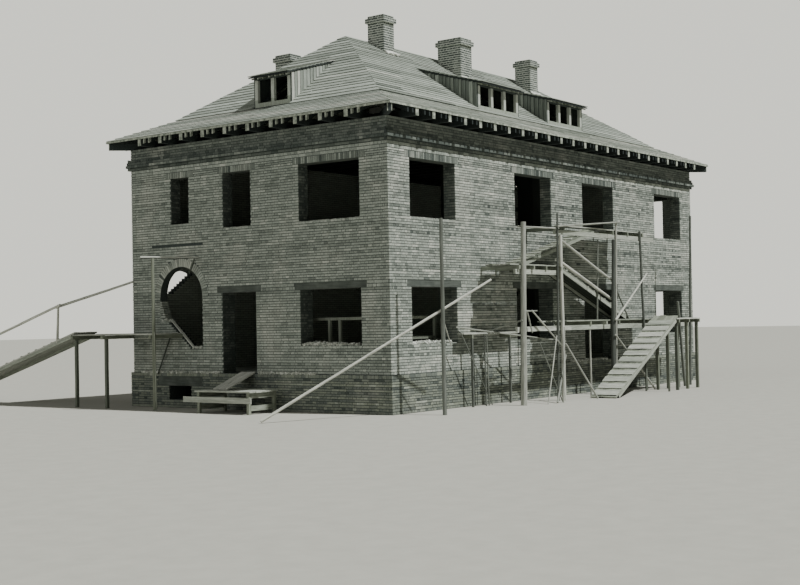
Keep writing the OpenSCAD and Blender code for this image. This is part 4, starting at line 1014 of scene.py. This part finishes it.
def dormer_boards():
    """Lapped boards on the dormers' roofs, upright boards on their cheeks and their rafters' ends."""
    for i, (name, (wall, middle, wide, face, slope)) in enumerate(dormers.items()):
        dice = random.Random(71 + i)
        start = face - dormer_eave
        z_start = z_kink + dormer_h
        half = wide / 2 + dormer_verge
        meets = dormer_meets(slope, face)

        def edge(v):
            return middle - half - 0.02 * dice.random(), middle + half + 0.02 * dice.random()

        places = lapped_slope(
            wall, dormer_pitch, start, meets - 0.1, z_start, edge, dice, none_at, 0.6, 0.18, 0.02)
        covers = lay("covers", plank, places, 0.002, 5)
        cheeks = []
        turn = turn_to(Vector((0, 0, 1)), way(wall, 0, 1))
        # The front dormers' cheek boards get dark tones as painted shade; the side dormer's first board at
        # its corner is painted palest as painted light
        cheek_tone = 0.6 if wall == "left" else 0.1
        at = face
        while at < meets - 0.15:
            w = dice.uniform(0.11, 0.18)
            gap = dice.uniform(0.008, 0.04)
            z0 = z_kink + slope * (at - kink_at)
            z1 = z_kink + dormer_h + dormer_pitch * (at - face + dormer_eave) - 0.045
            for side in (-1, 1):
                u = middle + side * (wide / 2 + cheek_t + 0.008)
                centre = on_wall(wall, u, at + w / 2, (z0 + z1) / 2)
                painted_lit_corner = wall == "left" and at == face
                tone = 1.0 if painted_lit_corner else toned(dice, cheek_tone, 0.3)
                cheeks.append((centre, (z1 - z0, w - gap, 0.022), turn, tone))
            at += w
        sides = lay("sides", plank, cheeks, 0.002, 6)
        dress(join(covers, sides, "dormer_boards_" + name), roof_boards, "weathered_boards")
        stubs = []
        count = round(wide / 0.23)
        z_rafter = z_start - 0.072
        for k in range(count + 1):
            u = middle - wide / 2 + 0.02 + k * (wide - 0.04) / count + dice.uniform(-0.03, 0.03)
            p = on_wall(wall, u, start + dice.uniform(0.02, 0.05), z_rafter + dormer_pitch * 0.03)
            q = on_wall(wall, u, face + 0.04, z_rafter + dormer_pitch * (dormer_eave + 0.04))
            stubs.append(between(p, q, 0.045, dice.uniform(0.3, 0.95)))
        dress(lay("dormer_rafters_" + name, plank, stubs, 0.002, 7), deck_planks, "sawn_timber")


def sticks(wall, rows):
    """Places of poles along a wall, from rows of (point, point, thickness, tone)."""
    return [between(on_wall(wall, *p), on_wall(wall, *q), thick, tone) for p, q, thick, tone in rows]


def boards(wall, rows):
    """Places of boards that fill boxes along a wall, grain lengthwise, from rows of (u, v, z, tone)."""
    places = []
    ways = [way(wall, *step) for step in ((1, 0, 0), (0, 1, 0), (0, 0, 1))]
    for *spans, tone in rows:
        sizes = [b - a for a, b in spans]
        order = sorted(range(3), key=lambda i: -sizes[i])
        centre = on_wall(wall, *[(a + b) / 2 for a, b in spans])
        turn = turn_to(ways[order[0]], ways[order[1]])
        places.append((centre, [sizes[i] for i in order], turn, tone))
    return places


def walkway(wall, foot, head, v0, w, dice, rung_w, paler=0.0):
    """Sloping walkway between two (along, height) points: planks on two bearers, with rungs across."""
    lap, pitch, thick = 0.15, 0.40, 0.10
    run, rise = head[0] - foot[0], head[1] - foot[1]
    size = math.hypot(run, rise)
    up = way(wall, run, 0, rise).normalized()
    side = way(wall, 0, 1)
    normal = up.cross(side)
    normal = normal if normal.z > 0 else -normal
    start = on_wall(wall, foot[0], v0, foot[1])
    lengthwise, crosswise = turn_to(up, side), turn_to(side, up)
    slope = abs(rise / run)
    places = []
    # The planks' tones are raised by paler where asked, as painted light
    for i in range(4):
        a, b = i * w / 4 + half_gap, (i + 1) * w / 4 - half_gap
        s0, s1 = 0.012, size + lap + dice.uniform(-0.06, 0.0)
        centre = start + up * (s0 + s1) / 2 + side * (a + b) / 2 + normal * 0.022
        places.append((centre, (s1 - s0, b - a, 0.042), lengthwise, dice.uniform(0.1, 0.5) + paler))
    s0, s1 = thick / slope, size - (thick + deck_t) * slope - 0.01
    for v in (0.03, w - 0.03):
        centre = start + up * (s0 + s1) / 2 + side * v - normal * thick / 2
        places.append((centre, (s1 - s0, 0.058, thick), lengthwise, dice.uniform(0.5, 0.8)))
    for i in range(int((size - 0.2) / pitch)):
        at = 0.225 + i * pitch + dice.uniform(-0.01, 0.01)
        a, b = dice.uniform(0.0, 0.025), w - dice.uniform(0.0, 0.025)
        centre = start + up * at + side * (a + b) / 2 + normal * (deck_t + 0.013)
        wide = rung_w * dice.uniform(0.85, 1.1)
        places.append((centre, (b - a, wide, 0.028), crosswise, dice.uniform(0.6, 1.0)))
    return places


# The gangway, as in the frame: poles as (foot, head, height, thickness, tone), planks as (start, end)
pole_line = 1.25
deck_w, deck_t, putlog_h, ledger_h, ledger_w = 1.08, 0.045, 0.11, 0.14, 0.08
deck_1_h, deck_2_h, deck_3_h = 2.39, 4.05, 5.28
gang_poles = [
    (0.56, 0.545, 5.15, 0.11, 0.3), (4.46, 4.62, 5.25, 0.175, 0.75), (6.50, 6.68, 5.61, 0.07, 0.15),
    (6.80, 6.79, 4.97, 0.12, 1.0), (9.93, 10.16, 4.95, 0.15, 0.1), (10.20, 10.43, 5.53, 0.075, 0.8),
    (12.36, 12.10, 5.31, 0.09, 0.2), (15.83, 16.17, 6.03, 0.09, 0.25),
]
decks = (
    (deck_1_h, [(7.20, 16.30), (7.20, 14.00), (7.20, 14.00), (7.20, 14.00)]),
    (deck_2_h, [(3.95, 6.95), (4.05, 7.60), (3.90, 7.60), (4.30, 7.60)]),
    (deck_3_h, [(6.90, 12.35), (9.60, 12.35), (10.20, 12.35), (10.20, 12.35)]),
)
ledgers = ((deck_1_h, 4.35, 16.30), (deck_2_h, 4.30, 6.86), (deck_3_h, 6.60, 13.20))
putlogs = (
    (deck_1_h, [
        long_at[1] + window_w + 0.12, length / 2, long_at[2] - 0.12, long_at[2] + window_w + 0.12,
        long_at[2] + window_w + 1.0, long_at[3] - 0.12,
    ]),
    (deck_2_h, [4.42 + i * 2.33 / 3 for i in range(4)]),
    (deck_3_h, [7.0, 10.3, 11.275, 12.25]),
)
shelf, shelf_w, shelf_h, shelf_legs = (2.90, 5.84), 0.38, 2.095, (3.30, 5.30)


def gangway():
    """The builders' gangway along the front: peeled poles, sawn bearers, planks and walkways."""
    dice = random.Random(81)
    rows = [
        ((foot, -pole_line - thick / 2, sunk), (head, -pole_line - thick / 2, top), thick * 1.06, tone)
        for foot, head, top, thick, tone in gang_poles
    ]
    rows.append(((8.68, 0.04 - pole_line, sunk), (8.68, 0.04 - pole_line, 2.095), 0.062, 0.8))
    poles = lay("poles", log, sticks("front", rows), 0.002, 11, 0.03)
    shelf_under = shelf_h - deck_t - putlog_h
    rows = [((x, x + 0.06), (-shelf_w, -shelf_w + 0.06), (0.0, shelf_under), 0.2) for x in shelf_legs]
    legs = lay("legs", beam, boards("front", rows), 0.003, 12)
    dress(join(poles, legs, "peeled_poles"), peeled_poles, "sawn_timber", "gangway_poles")

    rows = []
    for h, start, end in ledgers:
        top = h - deck_t - putlog_h
        for u in row_of_boards(start, end, dice, 4.0, 6.5, 0.01):
            v, z = (-pole_line, -pole_line + ledger_w), (top - ledger_h, top)
            rows.append((u, v, z, dice.uniform(0.6, 0.95)))
    places = boards("front", rows)
    dress(lay("sawn_ledgers", beam, places, 0.003, 13, 0.012), deck_planks, "sawn_timber", "gangway_ledgers")

    rows = []
    for h, spots in putlogs:
        under = h - deck_t - putlog_h
        for at in spots:
            v = (-pole_line - dice.uniform(0.0, 0.12), 0.0)
            rows.append(((at - 0.04, at + 0.04), v, (under, under + putlog_h), dice.uniform(0.1, 0.5)))
    for x in shelf_legs:
        rows.append(((x, x + 0.06), (-shelf_w, 0.0), (shelf_under, shelf_under + putlog_h), 0.3))
    places = boards("front", rows)
    dress(lay("sawn_putlogs", beam, places, 0.003, 14), deck_planks, "sawn_timber", "gangway_putlogs")

    rows = []
    w = (deck_w - 0.06) / 4
    for h, spans in decks:
        for i, (start, end) in enumerate(spans):
            for k in range(2):
                v = -pole_line + i * (w + 0.02) + k * w / 2
                u = (start + dice.uniform(-0.06, 0.08), end + dice.uniform(-0.08, 0.06))
                top = h - dice.uniform(0.0, 0.008)
                span = (v + half_gap, v + w / 2 - half_gap)
                rows.append((u, span, (top - 0.036, top), dice.uniform(0.4, 0.95)))
    for v in (0.0, 0.19):
        rows.append((
            (shelf[0] + v, shelf[1] - v), (-shelf_w + v + 0.005, -shelf_w + v + 0.185),
            (shelf_h - 0.04, shelf_h), 0.9 - v))
    planks = lay("deck_planks", beam, boards("front", rows), 0.003, 15, 0.014)
    dress(planks, deck_planks, "weathered_boards", "gangway_decks")

    places = walkway("front", (8.07, 0.0), (12.50, 2.386), -2.385, 0.87, dice, 0.27)
    rows = []
    w = 1.02 / 6
    for i in range(6):
        v = -2.39 + i * w
        u = (12.50, 14.40 + dice.uniform(-0.08, 0.06))
        span = (v + half_gap, v + w - half_gap)
        rows.append((u, span, (deck_1_h - 0.042, deck_1_h - 0.002), dice.uniform(0.5, 1.0)))
    for x in (12.65, 13.45, 14.25):
        for v in (-2.30, -1.60):
            rows.append(((x, x + 0.09), (v, v + 0.09), (0.0, deck_1_h - deck_t), dice.uniform(0.1, 0.4)))
        rows.append(((x + 0.01, x + 0.08), (-2.38, -1.39), (deck_1_h - 0.15, deck_1_h - deck_t), 0.3))
    for v in (-2.385, -1.565):
        rows.append(((11.81, 11.87), (v, v + 0.05), (0.0, 1.90), dice.uniform(0.1, 0.4)))
    places += boards("front", rows)
    dress(lay("ramp_planks", beam, places, 0.003, 16, 0.012), deck_planks, "weathered_boards", "gangway_ramp")

    places = walkway("front", (12.33, deck_1_h), (7.60, deck_2_h), -0.76, 0.62, dice, 0.05)
    places += walkway("front", (5.40, deck_2_h), (10.20, deck_3_h), -0.64, 0.52, dice, 0.05)
    dress(lay("walkway_planks", beam, places, 0.003, 17), deck_planks, "weathered_boards", "gangway_walkways")

    def rail(x0, z0, x1, z1, thick, tone):
        """A rail just behind the line of poles, between two points along the wall."""
        v = -pole_line + thick / 2
        return (x0, v, z0), (x1, v, z1), thick, tone

    # Thin sticks that lean at the gangway, then its rails
    v = -pole_line - 0.10
    places = sticks("front", [
        ((4.57, v, 2.69), (5.26, v, 2.69), 0.05, 0.6),
        ((4.70, v, 2.70), (4.98, v, 2.06), 0.05, 0.7),
        ((4.90, v - 0.05, 2.70), (6.60, v - 0.02, 1.66), 0.05, 0.85),
        ((0.62, -1.30, 2.40), (1.03, -1.22, 1.80), 0.035, 0.8),
        ((2.62, -0.45, 2.12), (4.02, -0.55, 0.02), 0.035, 0.3),
        ((3.93, -0.40, sunk), (3.90, -0.40, 2.05), 0.05, 0.3),
        ((4.05, -0.42, sunk), (4.01, -0.40, 2.05), 0.04, 0.5),
        ((9.38, -1.10, 2.39), (9.49, -1.12, 4.95), 0.055, 0.5),
        ((14.95, -1.50, sunk), (14.50, -1.50, 2.95), 0.11, 0.45),
        ((5.10, -1.75, sunk), (6.20, -1.45, 1.95), 0.04, 0.8),
        ((5.90, -1.80, sunk), (6.72, -1.42, 2.20), 0.045, 0.75),
        ((6.05, -1.70, sunk), (5.30, -1.40, 1.75), 0.035, 0.5),
        rail(6.72, deck_3_h - 0.362, 10.25, deck_1_h + 1.24, 0.09, 0.8),
        rail(6.72, deck_2_h + 0.188, 10.25, deck_1_h + 0.63, 0.11, 0.95),
        rail(4.52, deck_3_h - 0.16, 6.85, deck_3_h - 0.11, 0.06, 0.75),
        ((6.55, -pole_line - 0.105, 5.21), (10.56, -pole_line - 0.106, 5.53), 0.06, 0.7),
        ((3.01, -0.03, 2.263), (7.0, -1.284, 1.763), 0.05, 0.7),
        ((4.60, -0.12, 2.122), (4.415, -1.37, 2.43), 0.05, 0.6),
    ])
    dress(lay("rail_poles", log, places, 0.0015, 18, 0.015), peeled_poles, "sawn_timber", "gangway_rails")
    front_side = -pole_line - 0.185
    places = sticks("front", [
        ((-3.498, 1.444, 0.046), (1.803, -2.019, 3.53), 0.08, 1.0),
        ((10.0, front_side, 2.37), (12.42, -pole_line - 0.122, 3.90), 0.07, 0.95),
        rail(10.32, deck_1_h + 1.16, 11.30, deck_1_h + 0.024, 0.06, 0.35),
        ((12.70, front_side, 0.03), (9.95, front_side, 1.90), 0.07, 0.9),
        ((5.55, -1.80, 0.022), (6.79, -pole_line - 0.151, 1.35), 0.06, 0.6),
        ((7.80, -1.90, 0.017), (6.80, -pole_line - 0.151, 1.70), 0.06, 0.75),
    ])
    dress(lay("brace_poles", log, places, 0.0015, 19, 0.02), peeled_poles, "sawn_timber", "gangway_braces")


def side_works():
    """Deck, ramp, handrail and pole beside the end wall, and the landing before the side door."""
    dice = random.Random(91)
    side_deck_h, out = 2.25, 1.135
    under = side_deck_h - deck_t
    w = out / 5
    rows = []
    for i in range(5):
        v = -out + i * w
        u = (7.80 + dice.uniform(0, 0.12), 11.60 - dice.uniform(0, 0.05))
        z = (under + 0.004, side_deck_h - dice.uniform(0, 0.006))
        tone = 0.95 if i == 0 else dice.uniform(0.4, 0.8)
        rows.append((u, (v + half_gap, v + w - half_gap), z, tone))
    for at in (7.86, 10.0, 11.40):
        rows.append(((at, at + 0.09), (-1.28, 0.0), (under - putlog_h, under), dice.uniform(0.2, 0.5)))
    for at in (10.0, 11.40):
        rows.append(((at, at + 0.09), (-out, -out + 0.09), (0.0, under - putlog_h), 0.15))
    deck = lay("deck", beam, boards("left", rows), 0.003, 21, 0.01)
    poles = lay("pole", log, sticks("left", [
        ((7.81, -1.20, sunk), (7.81, -1.20, 4.45), 0.115, 0.3),
        ((8.01, -1.50, 4.48), (7.12, -0.02, 4.48), 0.07, 1.0),
        ((7.28, -0.04, 4.45), (7.50, -0.03, 4.02), 0.035, 0.1),
        ((8.25, -0.10, 2.20), (8.85, -0.12, 1.0), 0.05, 0.0),
        ((7.72, -1.22, sunk), (7.76, -1.22, 2.30), 0.04, 0.5),
    ]), 0.002, 22, 0.015)
    dress(join(deck, poles, "side_deck_planks"), deck_planks, "weathered_boards", "side_deck")
    # The side ramp's planks are made 0.5 paler, as painted light on their shaded faces
    places = walkway("left", (19.40, 0.0), (11.60, side_deck_h), -out, 0.90, dice, 0.05, 0.5)
    dress(lay("side_ramp_planks", beam, places, 0.003, 23), pale_planks, "weathered_boards", "side_ramp")
    places = sticks("left", [
        ((19.25, -1.10, 1.18), (12.20, -1.10, 3.19), 0.1, 1.0),
        ((12.45, -1.08, 3.11), (9.99, -0.05, 3.85), 0.09, 0.8),
        ((12.36, -1.10, 1.98), (12.32, -1.08, 3.20), 0.085, 1.0),
        ((15.62, -1.10, 1.04), (15.60, -1.08, 2.27), 0.085, 0.9),
        ((18.90, -1.10, 0.09), (18.86, -1.08, 1.34), 0.085, 0.9),
    ])
    dress(lay("side_rail", log, places, 0.002, 25, 0.012), peeled_poles, "sawn_timber")

    # The landing, by its height, ends and sides
    h, near, far, out, back = 0.64, 3.65, 5.85, 1.55, 0.35
    w = (out - back) / 5
    rows = []
    for i in range(5):
        v = -out + i * w
        u = (near + dice.uniform(0, 0.06), far - dice.uniform(0, 0.06))
        z = (h - deck_t, h - dice.uniform(0, 0.005))
        rows.append((u, (v + half_gap, v + w - half_gap), z, dice.uniform(0.6, 0.95)))
    bearer_v = (-out + 0.05, -back - 0.05)
    for at in (near + 0.10, far - 0.19):
        for v in (-out + 0.05, -back - 0.14):
            rows.append(((at, at + 0.09), (v, v + 0.09), (0.0, h - deck_t), 0.4))
        for z in ((h - 0.20, h - deck_t), (0.10, 0.24)):
            rows.append(((at + 0.02, at + 0.07), bearer_v, z, 0.5))
    rows.append(((near, far + 0.42), (-out + 0.015, -out + 0.045), (0.30, 0.46), 0.75))
    places = boards("left", rows)
    size = math.hypot(z_floor - h, out - 0.38 - plinth_out) + 0.04
    for a, b in ((4.88, 5.15), (5.16, 5.43)):
        foot = on_wall("left", (a + b) / 2, -out + 0.38, h + 0.02)
        head = on_wall("left", (a + b) / 2, -plinth_out, z_floor + 0.02)
        up = (head - foot).normalized()
        turn = turn_to(up, way("left", 1, 0))
        places.append((foot + up * size / 2, (size, b - a - 0.006, 0.036), turn, 1.0))
    dress(lay("landing_planks", beam, places, 0.003, 24), deck_planks, "weathered_boards", "door_landing")


def camera():
    """The photograph's viewpoint, solved from the walls' vanishing points and corners."""
    place = Vector((-36.578, -25.652, 2.5))
    yaw, pitch, roll = math.radians(53.111), math.radians(1.2277), math.radians(-1.1345)
    ahead = Vector((math.sin(yaw) * math.cos(pitch), math.cos(yaw) * math.cos(pitch), math.sin(pitch)))
    right = Vector((math.cos(yaw), -math.sin(yaw), 0))
    up = right.cross(ahead)
    tilted_right = right * math.cos(roll) + up * math.sin(roll)
    tilted_up = up * math.cos(roll) - right * math.sin(roll)
    data = bpy.data.cameras.new("camera")
    data.lens = 57.95
    data.sensor_width = 36
    data.clip_end = 1000
    view = bpy.data.objects.new("camera", data)
    turn = Matrix((tilted_right, tilted_up, -ahead)).transposed().to_4x4()
    view.matrix_world = Matrix.Translation(place) @ turn
    bpy.context.scene.collection.objects.link(view)
    bpy.context.scene.camera = view


def light():
    """A key from high before the front, a wide soft fill from the left and an even pale surround."""
    for name, energy, spread, to_light in (
        ("key", 5.5, 1.5, (0.2, -1.0, 1.54)), ("fill", 0.7, 70, (-1.0, 0.1, 0.5)),
    ):
        data = bpy.data.lights.new(name, "SUN")
        data.energy = energy
        data.angle = math.radians(spread)
        sun = bpy.data.objects.new(name, data)
        sun.rotation_euler = Vector(to_light).to_track_quat("Z", "Y").to_euler()
        bpy.context.scene.collection.objects.link(sun)
    world = bpy.data.worlds.new("surround")
    bpy.context.scene.world = world
    world.use_nodes = True
    tree = world.node_tree
    surround = tree.nodes["Background"]
    surround.inputs["Color"].default_value = linear("#e6e6dc")
    seen = add(tree, "LightPath").outputs["Is Camera Ray"]
    strength = add(tree, "Mix", {0: seen, 2: 0.2, 3: 1.3}, data_type="FLOAT")
    tree.links.new(strength.outputs[0], surround.inputs["Strength"])


def floor():
    """A plain pale floor."""
    bpy.ops.object.select_all(action="DESELECT")
    bpy.ops.mesh.primitive_plane_add(size=400, location=(0, 0, -0.002))
    plane = bpy.context.object
    plane.name = "floor_plane"
    material, tree, place = new_material("pale_floor")
    speckle = add(tree, "TexNoise", {"Vector": place, "Scale": 1 / 0.4, "Detail": 3.0, "Roughness": 0.6})
    complete(tree, 0.95, add(tree, "ValToRGB", {0: speckle}, [(0.3, "#a3a399"), (0.7, "#aaaaa0")]))
    plane.data.materials.append(material)


camera()
light()
floor()
paint_frame()
wall_bricks()
arch_bricks()
lintel_bricks()
jamb_bricks()
stack_bricks()
roof_slopes()
dormer_boards()
stack_fillets()
rubble()
gangway()
side_works()
for template in (brick, lump, plank, beam, fillet, log):
    bpy.data.objects.remove(template)
